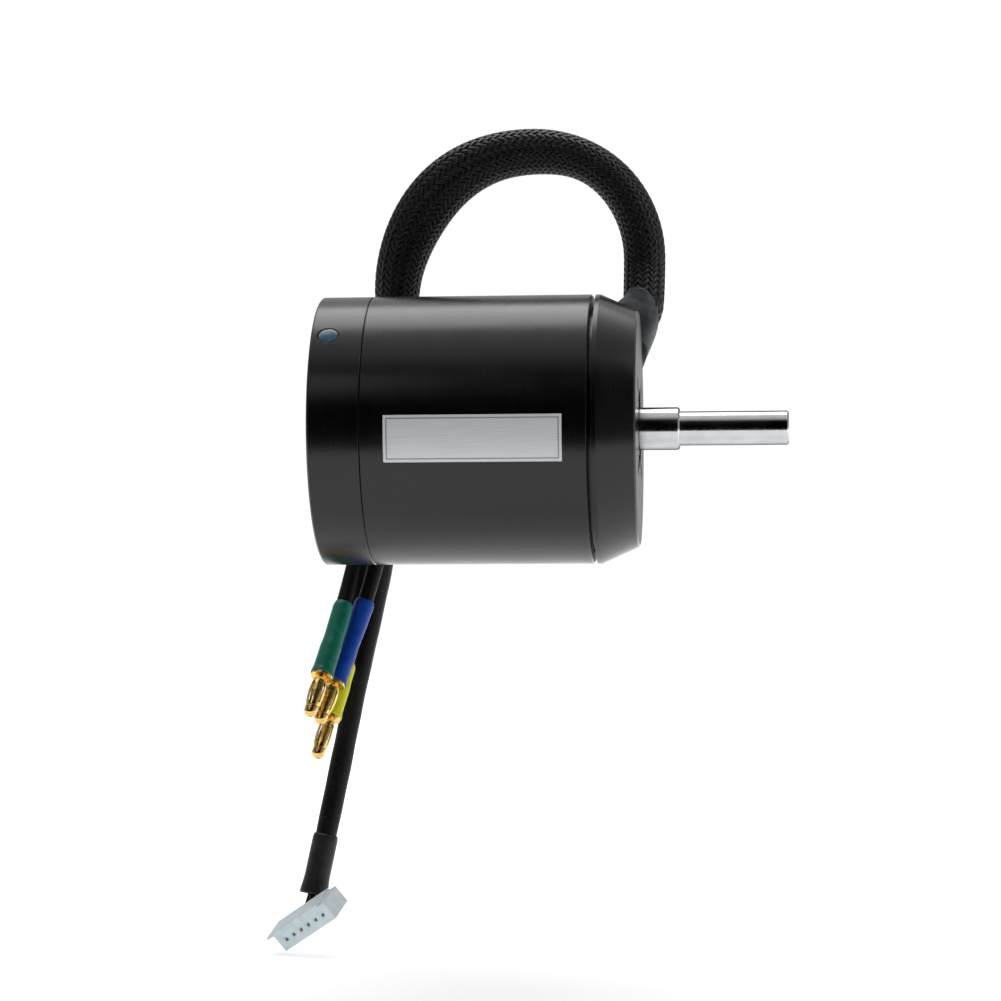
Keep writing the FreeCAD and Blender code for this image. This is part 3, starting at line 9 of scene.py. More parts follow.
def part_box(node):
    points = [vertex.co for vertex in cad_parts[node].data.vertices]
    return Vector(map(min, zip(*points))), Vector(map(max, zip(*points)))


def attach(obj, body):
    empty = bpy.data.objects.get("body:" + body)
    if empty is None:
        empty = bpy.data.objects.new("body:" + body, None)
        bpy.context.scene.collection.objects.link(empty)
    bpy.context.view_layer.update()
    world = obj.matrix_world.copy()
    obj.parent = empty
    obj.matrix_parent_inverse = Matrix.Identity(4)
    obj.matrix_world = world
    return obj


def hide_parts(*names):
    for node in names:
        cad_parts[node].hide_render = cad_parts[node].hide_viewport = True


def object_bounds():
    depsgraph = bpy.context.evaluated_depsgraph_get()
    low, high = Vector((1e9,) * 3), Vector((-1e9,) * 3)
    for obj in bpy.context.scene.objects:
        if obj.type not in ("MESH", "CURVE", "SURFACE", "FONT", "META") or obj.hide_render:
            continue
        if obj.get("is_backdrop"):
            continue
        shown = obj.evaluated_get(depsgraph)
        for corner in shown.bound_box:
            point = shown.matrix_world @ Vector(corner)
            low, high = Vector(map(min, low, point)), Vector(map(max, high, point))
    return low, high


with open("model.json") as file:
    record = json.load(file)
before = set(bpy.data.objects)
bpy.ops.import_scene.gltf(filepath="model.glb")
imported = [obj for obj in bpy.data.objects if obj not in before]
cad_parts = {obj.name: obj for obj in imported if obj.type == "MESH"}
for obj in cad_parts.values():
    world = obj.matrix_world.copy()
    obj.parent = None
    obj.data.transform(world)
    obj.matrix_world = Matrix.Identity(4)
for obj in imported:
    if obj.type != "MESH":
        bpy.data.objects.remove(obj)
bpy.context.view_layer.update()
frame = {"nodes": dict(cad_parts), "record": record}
MM = 0.001
rng = np.random.default_rng(63)


# ---------------------------------------------------------------- materials

class Look:
    """A node material on one shader, with helpers for noise, mixing and relief."""

    def __init__(self, name, colour, roughness, metallic=0.0):
        self.material = bpy.data.materials.new(name)
        self.material.use_nodes = True
        self.tree = self.material.node_tree
        self.shader = self.tree.nodes["Principled BSDF"]
        self.shader.inputs["Base Color"].default_value = (*colour, 1)
        self.shader.inputs["Roughness"].default_value = roughness
        self.shader.inputs["Metallic"].default_value = metallic
        self.material.diffuse_color = (*colour, 1)
        self.place = self.node("ShaderNodeTexCoord").outputs["Object"]

    def node(self, kind, **settings):
        made = self.tree.nodes.new(kind)
        for key, value in settings.items():
            setattr(made, key, value)
        return made

    def link(self, source, target):
        self.tree.links.new(source, target)

    def value(self, operation, first, second=0.0, third=0.0):
        """Output of a maths node; each input is a number or another output."""
        made = self.node("ShaderNodeMath", operation=operation)
        for socket, given in zip(made.inputs, (first, second, third)):
            if isinstance(given, (int, float)):
                socket.default_value = given
            else:
                self.link(given, socket)
        return made.outputs[0]

    def noise(self, per_mm, detail=3.0, stretch=(1, 1, 1)):
        """Noise with features of 1/per_mm millimetres; stretch scales it along each axis."""
        mapping = self.node("ShaderNodeMapping")
        mapping.inputs["Scale"].default_value = [per_mm / MM * s for s in stretch]
        self.link(self.place, mapping.inputs["Vector"])
        made = self.node("ShaderNodeTexNoise")
        made.inputs["Scale"].default_value = 1.0
        made.inputs["Detail"].default_value = detail
        self.link(mapping.outputs[0], made.inputs["Vector"])
        return made.outputs["Fac"]

    def split(self):
        made = self.node("ShaderNodeSeparateXYZ")
        self.link(self.place, made.inputs[0])
        return made.outputs

    def hypotenuse(self, first, second):
        squares = [self.value("MULTIPLY", side, side) for side in (first, second)]
        return self.value("SQRT", self.value("ADD", *squares))

    def radius(self):
        """Distance from the shaft's axis, in metres."""
        _, y, z = self.split()
        return self.hypotenuse(y, z)

    def ground_distance(self):
        """Distance from the frame's vertical axis, in metres."""
        x, y, _ = self.split()
        return self.hypotenuse(x, y)

    def rings(self, per_mm):
        """Noise that only changes along the shaft and with the distance from it, as a lathe leaves."""
        x = self.split()[0]
        made = self.node("ShaderNodeTexNoise", noise_dimensions="1D")
        made.inputs["Scale"].default_value = per_mm / MM
        made.inputs["Detail"].default_value = 2.0
        self.link(self.value("ADD", x, self.radius()), made.inputs["W"])
        return made.outputs["Fac"]

    def spread(self, source, low, high, from_low=0.3, from_high=0.7):
        made = self.node("ShaderNodeMapRange")
        self.link(source, made.inputs["Value"])
        ranges = {"From Min": from_low, "From Max": from_high, "To Min": low, "To Max": high}
        for key, given in ranges.items():
            made.inputs[key].default_value = given
        return made.outputs["Result"]

    def mix(self, factor, first, second):
        made = self.node("ShaderNodeMix", data_type="RGBA")
        self.link(factor, made.inputs["Factor"])
        for key, given in (("A", first), ("B", second)):
            socket = [s for s in made.inputs if s.name == key and s.type == "RGBA"][0]
            if isinstance(given, tuple):
                socket.default_value = (*given, 1)
            else:
                self.link(given, socket)
        return [s for s in made.outputs if s.type == "RGBA"][0]

    def colour(self, source):
        self.link(source, self.shader.inputs["Base Color"])
        return self

    def rough(self, source):
        self.link(source, self.shader.inputs["Roughness"])
        return self

    def relief(self, height, depth_mm, edge_mm=0.0):
        """Bump of the given depth; edge_mm rounds the shading of sharp edges."""
        bump = self.node("ShaderNodeBump")
        bump.inputs["Distance"].default_value = depth_mm * MM
        bump.inputs["Strength"].default_value = 1.0
        self.link(height, bump.inputs["Height"])
        if edge_mm:
            bevel = self.node("ShaderNodeBevel", samples=4)
            bevel.inputs["Radius"].default_value = edge_mm * MM
            self.link(bevel.outputs[0], bump.inputs["Normal"])
        self.link(bump.outputs[0], self.shader.inputs["Normal"])
        return self

    def set(self, **inputs):
        for key, given in inputs.items():
            self.shader.inputs[key.replace("_", " ")].default_value = given
        return self


def mottled(name, colour, second, roughness, metallic=0.0, per_mm=0.6, depth=0.01, edge=0.0):
    """A surface whose colour and roughness drift, with fine relief."""
    fine = 6.0
    look = Look(name, colour, roughness, metallic)
    drift = look.noise(per_mm)
    look.colour(look.mix(look.spread(drift, 0, 1), colour, second))
    look.rough(look.spread(look.noise(per_mm * 3), roughness - 0.06, roughness + 0.08))
    look.relief(look.noise(fine, 2.0), depth, edge)
    return look


def turned(name, colour, second, roughness, metallic=1.0, depth=0.0015, ring=4.0, haze_range=0.04):
    """A lathe-turned surface: fine rings round the shaft's axis, and slightly rounded edges."""
    edge = 0.12
    look = Look(name, colour, roughness, metallic)
    rings = look.rings(ring)
    look.colour(look.mix(look.spread(look.noise(0.25), 0, 1), colour, second))
    haze = look.value("ADD", look.spread(rings, -haze_range, haze_range),
                      look.spread(look.noise(0.15), -0.02, 0.03))
    look.rough(look.value("ADD", haze, roughness))
    grain = look.value("MULTIPLY", look.noise(9.0, 1.0), 0.3)
    look.relief(look.value("ADD", rings, grain), depth, edge)
    return look


anodised = turned("black_anodised", (0.0012, 0.0012, 0.0015), (0.002, 0.002, 0.0024), 0.24, 0.0, 0.0004,
                  ring=5.0, haze_range=0.02)
bearing_steel = turned("bearing_steel", (0.55, 0.56, 0.58), (0.66, 0.67, 0.68), 0.22, ring=8.0)
shaft_steel = turned("shaft_steel", (0.55, 0.565, 0.58), (0.64, 0.65, 0.66), 0.15, depth=0.0006, ring=9.0)
shaft_steel.set(Specular_Tint=(0.12, 0.12, 0.13, 1))
polished_steel = turned("polished_steel", (0.6, 0.61, 0.63), (0.7, 0.7, 0.71), 0.2, ring=7.0)
dark_steel = mottled("dark_steel", (0.05, 0.05, 0.052), (0.09, 0.088, 0.085), 0.38, 0.9, 1.2, 0.008, 0.08)
brass = mottled("cage_brass", (0.68, 0.48, 0.2), (0.52, 0.34, 0.13), 0.3, 1.0, 0.8, 0.005, 0.05)
ball_steel = mottled("ball_steel", (0.7, 0.71, 0.72), (0.62, 0.63, 0.65), 0.1, 1.0, 1.5, 0.001)
insulator = mottled("insulator", (0.03, 0.03, 0.032), (0.045, 0.045, 0.048), 0.5, depth=0.02, edge=0.1)
sensor_black = mottled("sensor_black", (0.02, 0.02, 0.02), (0.035, 0.035, 0.037), 0.45, per_mm=2.0)
nickel = mottled("magnet_nickel", (0.5, 0.49, 0.47), (0.6, 0.59, 0.57), 0.24, 1.0, 0.7, 0.008, 0.1)
contact_tin = mottled("contact_tin", (0.6, 0.6, 0.61), (0.5, 0.5, 0.5), 0.28, 1.0, 2.0, 0.004)
grommet_rubber = mottled("rubber_black", (0.012, 0.012, 0.012), (0.022, 0.022, 0.022), 0.6,
                         per_mm=1.0, depth=0.03)


def lamination_look():
    """Varnished steel sheets seen from the side, with a dark line at each joint."""
    sheet, joint = 0.5 * MM, 0.06 * MM
    look = Look("stator_steel", (0.16, 0.17, 0.18), 0.42, 0.85)
    across_sheets = look.split()[0]
    line = look.spread(look.value("PINGPONG", across_sheets, sheet / 2), 0, 1, 0.0, joint)
    stained = look.mix(look.spread(look.noise(0.5), 0, 1), (0.13, 0.14, 0.15), (0.22, 0.2, 0.18))
    look.colour(look.mix(line, (0.03, 0.03, 0.03), stained))
    look.rough(look.spread(look.noise(2.0), 0.34, 0.5))
    return look.relief(line, 0.05)


def copper_look():
    """Rows of enamelled wire along the coils, with painted shade in the grooves between the rows."""
    wire_pitch = 0.9 * MM
    look = Look("copper_winding", (0.5, 0.17, 0.05), 0.24, 0.75)
    wave = look.value("SINE", look.value("MULTIPLY", look.radius(), 2 * math.pi / wire_pitch))
    tone = look.mix(look.spread(look.noise(1.4), 0, 1), (0.56, 0.2, 0.06), (0.32, 0.09, 0.03))
    # painted shade: the colour darkens in the grooves between the rows of wire, where the relief dips
    look.colour(look.mix(look.spread(wave, 0, 1, -1.0, 0.0), (0.05, 0.015, 0.006), tone))
    look.rough(look.spread(look.noise(3.0), 0.18, 0.34))
    return look.relief(wave, 0.25)


def board_look():
    """Green solder mask with faint tracks under it."""
    look = Look("circuit_board", (0.01, 0.1, 0.04), 0.3)
    tracks = look.noise(0.9, 0.0)
    band = look.spread(look.value("PINGPONG", tracks, 0.06), 0, 1, 0.02, 0.028)
    look.colour(look.mix(band, (0.012, 0.16, 0.06), (0.006, 0.075, 0.03)))
    look.rough(look.spread(look.noise(3.0), 0.24, 0.36))
    return look.relief(band, 0.03)


def foil_look():
    """Blank brushed foil with a thin plain border; brushed along the shaft."""
    border_inset, border_half_width = 0.75 * MM, 0.13 * MM
    along_shaft = (0.05, 1, 4)
    look = Look("label_foil", (0.86, 0.87, 0.88), 0.4, 0.08)
    lo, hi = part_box("can_label")
    x, _, z = look.split()
    brushed = look.noise(3.0, 3.0, along_shaft)
    tone = look.mix(look.spread(brushed, 0, 1), (0.78, 0.8, 0.82), (0.92, 0.93, 0.94))
    from_sides = []
    for place, low, high in ((x, lo[0], hi[0]), (z, lo[2], hi[2])):
        from_middle = look.value("ABSOLUTE", look.value("SUBTRACT", place, (low + high) / 2))
        from_sides.append(look.value("SUBTRACT", (high - low) / 2, from_middle))
    from_edge = look.value("MINIMUM", *from_sides)
    from_line = look.value("ABSOLUTE", look.value("SUBTRACT", from_edge, border_inset))
    line = look.value("LESS_THAN", from_line, border_half_width)
    look.colour(look.mix(line, tone, (0.3, 0.31, 0.32)))
    look.rough(look.spread(brushed, 0.28, 0.42))
    return look.relief(brushed, 0.004, 0.05)


def gold_look():
    look = Look("plug_gold", (0.86, 0.6, 0.2), 0.16, 1.0)
    look.colour(look.mix(look.spread(look.noise(1.2), 0, 1), (0.9, 0.66, 0.24), (0.76, 0.5, 0.15)))
    look.rough(look.spread(look.noise(4.0), 0.1, 0.24))
    return look.relief(look.noise(6.0), 0.006, 0.08)


def plug_look():
    look = Look("plug_white", (0.7, 0.79, 0.84), 0.42)
    look.colour(look.mix(look.spread(look.noise(0.5), 0, 1), (0.76, 0.84, 0.88), (0.62, 0.74, 0.8)))
    look.rough(look.spread(look.noise(3.0), 0.36, 0.5))
    look.set(Subsurface_Weight=0.15, Subsurface_Scale=0.6 * MM)
    return look.relief(look.noise(5.0), 0.01, 0.15)


def shrink_look(name, colour, second, roughness=0.42, depth=0.2):
    """Shrunk sleeve: soft long wrinkles, slight gloss; the colour has painted highlight on the wrinkles'
    crests and painted shade in their hollows.
    """
    look = Look(name, colour, roughness)
    folds = look.noise(0.55, 2.0)
    # painted highlight and shade: the colour is lighter where the wrinkles rise and darker in their hollows
    look.colour(look.mix(look.spread(folds, 0, 1), colour, second))
    look.rough(look.spread(look.noise(1.6), roughness - 0.07, roughness + 0.1))
    look.set(Specular_IOR_Level=0.35)
    height = look.value("ADD", folds, look.value("MULTIPLY", look.noise(5.0), 0.12))
    return look.relief(height, depth)


def specked_look(name, colour, roughness, speck=(0.16, 0.16, 0.17)):
    """Black jacket with faint dust specks."""
    look = Look(name, colour, roughness)
    dust = look.spread(look.noise(1.7, 1.0), 0, 1, 0.74, 0.78)
    look.colour(look.mix(dust, colour, speck))
    look.rough(look.spread(look.noise(1.0), roughness - 0.06, roughness + 0.1))
    look.set(Specular_IOR_Level=0.2)
    return look.relief(look.noise(3.0), 0.02)


def braid_look():
    """Polyester strands: black, satin, with scattered light fibres."""
    look = Look("braid_black", (0.008, 0.008, 0.009), 0.36)
    dust = look.spread(look.noise(1.3, 1.0), 0, 1, 0.66, 0.72)
    tone = look.mix(look.spread(look.noise(0.8), 0, 1), (0.006, 0.006, 0.007), (0.014, 0.014, 0.016))
    look.colour(look.mix(dust, tone, (0.07, 0.08, 0.08)))
    look.rough(look.spread(look.noise(2.5), 0.3, 0.5))
    look.set(Specular_IOR_Level=0.4)
    return look.relief(look.noise(7.0), 0.02)


def threadlock_look():
    look = Look("threadlock", (0.01, 0.09, 0.16), 0.2)
    look.colour(look.mix(look.spread(look.noise(1.0), 0, 1), (0.01, 0.075, 0.13), (0.025, 0.12, 0.19)))
    look.rough(look.spread(look.noise(2.0), 0.14, 0.26))
    return look.relief(look.noise(1.2), 0.05)


laminations = lamination_look()
copper = copper_look()
board = board_look()
foil = foil_look()
gold = gold_look()
white_plug = plug_look()
braid_black = braid_look()
threadlock = threadlock_look()
boot_black = shrink_look("boot_black", (0.04, 0.045, 0.05), (0.06, 0.066, 0.074), 0.5, 0.12)
wrap_black = shrink_look("shrink_black", (0.008, 0.008, 0.009), (0.015, 0.015, 0.016), 0.4, 0.12)
shrink_green = shrink_look("shrink_green", (0.001, 0.14, 0.09), (0.002, 0.2, 0.13))
shrink_blue = shrink_look("shrink_blue", (0.0, 0.048, 0.36), (0.001, 0.07, 0.46))
shrink_yellow = shrink_look("shrink_yellow", (0.7, 0.68, 0.002), (0.8, 0.78, 0.004))
lead_black = specked_look("silicone_black", (0.002, 0.002, 0.0022), 0.46, (0.03, 0.03, 0.03))
jacket_black = specked_look("jacket_black", (0.002, 0.002, 0.0022), 0.38, (0.08, 0.08, 0.085))

CAD_LOOKS = {
    anodised: ("front_mount", "rear_cover", "rotor_can"),
    bearing_steel: ("front_bearing_outer_race", "rear_bearing_outer_race", "front_bearing_inner_race",
                    "rear_bearing_inner_race", "rear_spacer"),
    ball_steel: ("front_bearing_balls", "rear_bearing_balls"),
    brass: ("front_bearing_cage", "rear_bearing_cage"),
    polished_steel: ("front_bearing_shields", "rear_bearing_shields", "sensor_board_screws"),
    shaft_steel: ("shaft",),
    dark_steel: ("front_circlip", "rear_cover_set_screws"),
    laminations: ("stator_core",),
    insulator: ("front_end_insulator", "rear_end_insulator"),
    copper: ("phase_a_coils", "phase_b_coils", "phase_c_coils"),
    board: ("sensor_board",),
    sensor_black: ("hall_sensors", "temperature_sensor"),
    nickel: ("magnets_north", "magnets_south"),
    foil: ("can_label",),
    gold: ("phase_plug_pins", "phase_plug_springs"),
    white_plug: ("sensor_plug_housing",),
    contact_tin: ("sensor_plug_contacts",),
    grommet_rubber: ("cable_grommet",),
}
nodes = frame["nodes"]
for look, names in CAD_LOOKS.items():
    for name in names:
        nodes[name].data.materials.clear()
        nodes[name].data.materials.append(look.material)


# ---------------------------------------------------------------- surfaces from rings of points

def made_object(name, points, faces, look, body, replaced=(), smooth=True):
    mesh = bpy.data.meshes.new(name)
    mesh.from_pydata((np.asarray(points) * MM).tolist(), [], faces)
    mesh.update()
    if smooth:
        mesh.polygons.foreach_set("use_smooth", [True] * len(mesh.polygons))
    piece = bpy.data.objects.new(name, mesh)
    bpy.context.scene.collection.objects.link(piece)
    piece.data.materials.append(look.material)
    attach(piece, body)
    if replaced:
        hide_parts(*replaced)


def ring_faces(count, sides, first=0, joined=False):
    """Quads between closed rings of points; joined also ties the last ring to the first."""
    faces = []
    for i in range(count if joined else count - 1):
        for j in range(sides):
            here, after = first + i * sides, first + (i + 1) % count * sides
            faces.append((here + j, here + (j + 1) % sides, after + (j + 1) % sides, after + j))
    return faces


def add_capped(points, faces, ring_points, count, sides):
    """Adds a closed solid of count rings to the points and faces of a mesh."""
    first = len(points)
    last = first + (count - 1) * sides
    faces += ring_faces(count, sides, first)
    faces.append(tuple(first + j for j in range(sides - 1, -1, -1)))
    faces.append(tuple(last + j for j in range(sides)))
    points += ring_points


def skin(name, rings, look, replaced):
    """A closed solid from an array of rings (count, sides, 3), capped at both ends."""
    points, faces = [], []
    add_capped(points, faces, rings.reshape(-1, 3).tolist(), *rings.shape[:2])
    made_object(name, points, faces, look, "stator", replaced)


def shell(name, outer, inner, look, replaced):
    """A sleeve between two sets of rings, open at both ends."""
    around = np.concatenate([outer, inner[::-1]])
    faces = ring_faces(len(around), around.shape[1], joined=True)
    made_object(name, around.reshape(-1, 3), faces, look, "stator", replaced)


def unit(vectors):
    vectors = np.asarray(vectors, float)
    return vectors / np.linalg.norm(vectors, axis=-1, keepdims=True)


def headings(points):
    return unit(np.gradient(points, axis=0))


def frames(points):
    """(inward, aside) across a path at each point; aside stays as close to +Y as it can."""
    along = headings(points)
    inward = unit(np.cross(along, (0, 1, 0)))
    return inward, unit(np.cross(inward, along))


def lengths(points):
    steps = np.linalg.norm(np.diff(points, axis=0), axis=1)
    return np.concatenate([[0], np.cumsum(steps)])


def resampled(points, step):
    """The same path with even steps of about the given length."""
    travelled = lengths(points)
    places = np.linspace(0, travelled[-1], max(3, int(travelled[-1] / step) + 1))
    return np.stack([np.interp(places, travelled, points[:, i]) for i in range(3)], axis=1)


def eased(points, reach_mm, step=0.5):
    """Even steps, with corners rounded over about reach_mm; the ends stay."""
    points = resampled(points, step)
    for _ in range(int((reach_mm / step) ** 2)):
        points[1:-1] = points[1:-1] * 0.5 + (points[:-2] + points[2:]) * 0.25
    return points


def round_rings(points, radius, sides):
    """Rings round a path; the radius is a number or one per point."""
    inward, aside = frames(points)
    angles = np.linspace(0, 2 * math.pi, sides, endpoint=False)
    radius = np.broadcast_to(radius, len(points))[:, None, None]
    return (points[:, None] + radius * (np.cos(angles)[None, :, None] * inward[:, None]
                                        + np.sin(angles)[None, :, None] * aside[:, None]))


def soft(value):
    """Eases from 0 to 1 as the value goes from 0 to 1."""
    value = np.clip(value, 0.0, 1.0)
    return value * value * (3 - 2 * value)


# ---------------------------------------------------------------- cable paths, in mm

EXIT_ANGLE = math.radians(35)
OUTWARDS = np.array([0, math.cos(EXIT_ANGLE), math.sin(EXIT_ANGLE)])
DOWNWARDS = np.array([0, math.sin(EXIT_ANGLE), -math.cos(EXIT_ANGLE)])
EXIT_X = -6.6
EXIT_BEND_START = 31.5
EXIT_BEND = 10.5
BEND_LENGTH = EXIT_BEND * (math.pi / 2 - EXIT_ANGLE)
LOOP_TOP = (-25.9, 71.6)
LOOP_FRONT = (-0.1, 44.6, 36.0)
LOOP_REAR = (-61.8, 36.9, 38.4)
FALL_RATE = 0.0016
BUNDLE_SQUARE = 8.5       # the leads lie in a square bundle from this far past the bend
BRAID_FOOT = 0.8          # the braid starts under the boot, this far past the bend
SLEEVE_END = -15.0
TWIST_LENGTH = 13.0
LEAD_RADIUS = 1.95
LEAD_PITCH = 4.15
LEAD_SPREAD = 0.11
LEAD_SPREAD_X = 0.035


def rise_point(distance):
    """Middle of the bundle from the cone up to the loop; distance 0 is where its bend starts."""
    start = OUTWARDS * EXIT_BEND_START
    centre = start - DOWNWARDS * EXIT_BEND
    if distance < 0:
        point = start + OUTWARDS * distance
    elif distance < BEND_LENGTH:
        angle = distance / EXIT_BEND
        point = centre + DOWNWARDS * (EXIT_BEND * math.cos(angle)) + OUTWARDS * (EXIT_BEND * math.sin(angle))
    else:
        point = centre + np.array([0, EXIT_BEND, distance - BEND_LENGTH])
    total = LOOP_FRONT[1] - centre[2]
    drift = float(soft((distance + 1.5) / (BEND_LENGTH + 0.45 * total)))
    point[0] = EXIT_X + drift * (LOOP_FRONT[0] - EXIT_X)
    point[1] += float(soft(max(distance - BEND_LENGTH, 0) / total)) * (LOOP_FRONT[2] - centre[1] - EXIT_BEND)
    return point


def loop_point(turn):
    """Middle of the bundle over the loop, from 0 degrees at the front to 180 at the rear."""
    angle = math.radians(turn)
    end = LOOP_FRONT if turn < 90 else LOOP_REAR
    x = LOOP_TOP[0] + abs(end[0] - LOOP_TOP[0]) * math.cos(angle)
    depth = LOOP_FRONT[2] + (LOOP_REAR[2] - LOOP_FRONT[2]) * turn / 180
    return np.array([x, depth, end[1] + (LOOP_TOP[1] - end[1]) * math.sin(angle)])


def fall_point(height):
    """Middle of the bundle where it hangs down behind the can."""
    return np.array([LOOP_REAR[0] - FALL_RATE * (LOOP_REAR[1] - height) ** 2, LOOP_REAR[2], height])


def twist_at(distance):
    """0 where the leads lie in one row, 1 where they are a square bundle."""
    return soft((distance - (BEND_LENGTH + BUNDLE_SQUARE - TWIST_LENGTH)) / TWIST_LENGTH)


FIRST = -6.0              # the row of leads starts this far before the bend
STEP = 0.5
RISE_END = BEND_LENGTH + LOOP_FRONT[1] - rise_point(BEND_LENGTH)[2]
rise_places = np.arange(FIRST, RISE_END, STEP)
fall_heights = np.arange(LOOP_REAR[1], SLEEVE_END - 0.01, -STEP)
middle = np.array([rise_point(d) for d in rise_places]
                  + [loop_point(turn) for turn in range(0, 180, 1)]
                  + [fall_point(height) for height in fall_heights])
twists = np.concatenate([twist_at(rise_places), np.ones(len(middle) - len(rise_places))])
turns = np.concatenate([rise_places * 0.0, np.arange(0, 180, 1), 180.0 + 2.0 * np.arange(len(fall_heights))])
from_exit = lengths(middle) + FIRST          # distance from the start of the bend
middle_in, middle_aside = frames(middle)


def lane_offset(lane, twist):
    """(inward, aside) of one of four lanes, from a row at twist 0 to a square at twist 1."""
    half = LEAD_PITCH / 2
    angle = np.pi / 2 * twist
    pair = half * (2 - twist * twist) * (1 if lane >= 2 else -1)
    sign = 1 if lane % 2 else -1
    return sign * half * np.sin(angle), pair + sign * half * np.cos(angle)


def lane_path(lane):
    inside, beside = lane_offset(lane, twists)
    return middle + middle_in * inside[:, None] + middle_aside * beside[:, None]


def bezier(start, start_direction, end, end_direction, steps=40):
    reach = np.linalg.norm(end - start) * 0.38
    poles = [start, start + start_direction * reach, end - end_direction * reach, end]
    t = np.linspace(0, 1, steps + 1)[1:, None]
    return (poles[0] * (1 - t) ** 3 + poles[1] * 3 * t * (1 - t) ** 2
            + poles[2] * 3 * t * t * (1 - t) + poles[3] * t ** 3)


def leaving(lane_points):
    """Direction in which a lane leaves the sleeve's lower end, slightly spread."""
    away = (lane_points[-1] - middle[-1]) * (LEAD_SPREAD_X, LEAD_SPREAD, 0)
    return unit(unit(lane_points[-1] - lane_points[-3]) + away)


def plug_pose(name):
    mount = next(m for m in frame["record"]["mounts"] if m["name"] == name)
    return np.array(mount["pos_m"]) / MM, unit(mount["axis"])


COLLAR_LENGTH = 1.0
BARREL_LENGTH = 8.0
ROOT_X = -13.3            # the leads come from the windings here, and turn out in the cone
ROOT_RADIUS = 19.3
ELBOW_RADIUS = 4.0


def lead_path(lane, plug):
    """Path of one phase lead from the windings into its plug, and where the plug's barrel starts."""
    collar, nose = plug_pose(plug)
    bundled = lane_path(lane)
    offset = DOWNWARDS * lane_offset(lane, 0.0)[1]
    elbow = [np.array([ROOT_X, 0, 0]) + OUTWARDS * ROOT_RADIUS + offset]
    for degrees in range(0, 91, 15):
        angle = math.radians(degrees)
        elbow.append(np.array([EXIT_X - ELBOW_RADIUS * (1 - math.sin(angle)), 0, 0])
                     + OUTWARDS * (ROOT_RADIUS + ELBOW_RADIUS * (1 - math.cos(angle))) + offset)
    back = collar - nose * (COLLAR_LENGTH + BARREL_LENGTH)
    fan = bezier(bundled[-1], leaving(bundled), back, nose)
    soldered = back + nose * BARREL_LENGTH / 2
    return eased(np.concatenate([elbow, bundled, fan, [soldered]]), 1.2), back


# ---------------------------------------------------------------- phase leads and their heat-shrinks

SHRINK_SIDES = 40


def heat_shrink(colour, look, lane, path, back, nose, length):
    """Coloured sleeve from the lead over the plug's barrel, with a shoulder and a lip at the collar."""
    near = int(np.argmin(np.linalg.norm(path - back, axis=1)))
    bent = path[max(0, near - int(length / 0.5)):near]
    bent = bent[lengths(bent)[-1] - lengths(bent) < length - BARREL_LENGTH]
    straight = back + nose * np.linspace(0, BARREL_LENGTH + 0.35, 18)[:, None]
    line = eased(np.concatenate([bent, straight]), 1.0, 0.3)
    run = lengths(line)
    to_collar = run - run[-1]
    end = soft(run / 1.1)
    barrel = soft((to_collar + BARREL_LENGTH + 2.5) / 3.0)
    lip = soft((to_collar + 1.8) / 1.6)
    outer = 2.18 + 0.27 * end + 0.22 * barrel + 0.22 * lip
    inner = np.maximum(outer - 0.42, 2.0 + 0.37 * barrel)
    angles = np.linspace(0, 2 * math.pi, SHRINK_SIDES, endpoint=False)
    ripple = 0.05 * np.sin(angles * 2 + 0.6)[None] * np.sin(run / 3.1 + lane)[:, None]
    outer_rings = round_rings(line, outer, SHRINK_SIDES)
    outer_rings += (outer_rings - line[:, None]) / outer[:, None, None] * ripple[..., None]
    shell(colour + "_shrink", outer_rings, round_rings(line, inner, SHRINK_SIDES), look,
          (colour + "_heat_shrink",))


HEAT_SHRINKS = (("a", "green", shrink_green, 20.0), ("b", "blue", shrink_blue, 22.5),
                ("c", "yellow", shrink_yellow, 14.5))
for lane, (phase, colour, look, length) in enumerate(HEAT_SHRINKS):
    plug = "phase_plug_" + phase
    path, back = lead_path(lane, plug)
    skin("lead_" + phase, round_rings(path, LEAD_RADIUS, 20), lead_black,
         ("phase_lead_" + phase,))
    heat_shrink(colour, look, lane, path, back, plug_pose(plug)[1], length)


# ---------------------------------------------------------------- braided sleeve

SLEEVE_INWARDS = 4.62
SLEEVE_OUTWARDS = 5.12
SLEEVE_ASIDE = 5.1


def swell(turn, place, width):
    """1 at a place on the loop and fading on both sides of it, all in degrees."""
    return np.exp(-((turn - place) / width) ** 2)


def sleeve_section(run, turn):
    """Half sizes of the sleeve inwards, outwards and aside; its foot opens out over the row of leads."""
    foot = np.exp(-run / 4.2)
    inner = SLEEVE_INWARDS + 1.95 * swell(turn, 150, 31) + 0.5 * swell(turn, 88, 18)
    inner = inner - 0.32 * swell(turn, 55, 22) + 0.1 * foot
    outer = SLEEVE_OUTWARDS + 1.8 * swell(turn, 127, 32) - 1.1 * np.exp(-run / 6.0)
    depth = SLEEVE_ASIDE - 0.5 * swell(turn, 135, 32) + 2.0 * foot
    return inner, outer, depth


def sleeve_surface(path, angles, height):
    """Points on the sleeve: angle round it and height above its middle surface."""
    inward, aside = frames(path)
    cos, sin = np.cos(angles), np.sin(angles)
    inner, outer, depth = sleeve_section(sleeve_run, sleeve_turn)
    width = np.where(cos > 0, inner, outer)
    return (path + inward * ((width + height) * cos)[:, None] + aside * ((depth + height) * sin)[:, None])


in_sleeve = from_exit > BEND_LENGTH + BRAID_FOOT
sleeve_path = resampled(middle[in_sleeve], 0.6)
sleeve_run = lengths(sleeve_path)
sleeve_turn = np.interp(sleeve_run, lengths(middle[in_sleeve]), turns[in_sleeve])
STRANDS = 24              # in each direction
BRAID_ANGLE = math.radians(38)
TURN_PER_MM = math.tan(BRAID_ANGLE) / 5.2
WEAVE_DEPTH = 0.15
WRAP_LENGTH = 12.5
STRAND_SECTION = ((-0.46, -0.1), (-0.27, 0.17), (0.0, 0.07), (0.27, 0.17), (0.46, -0.1))


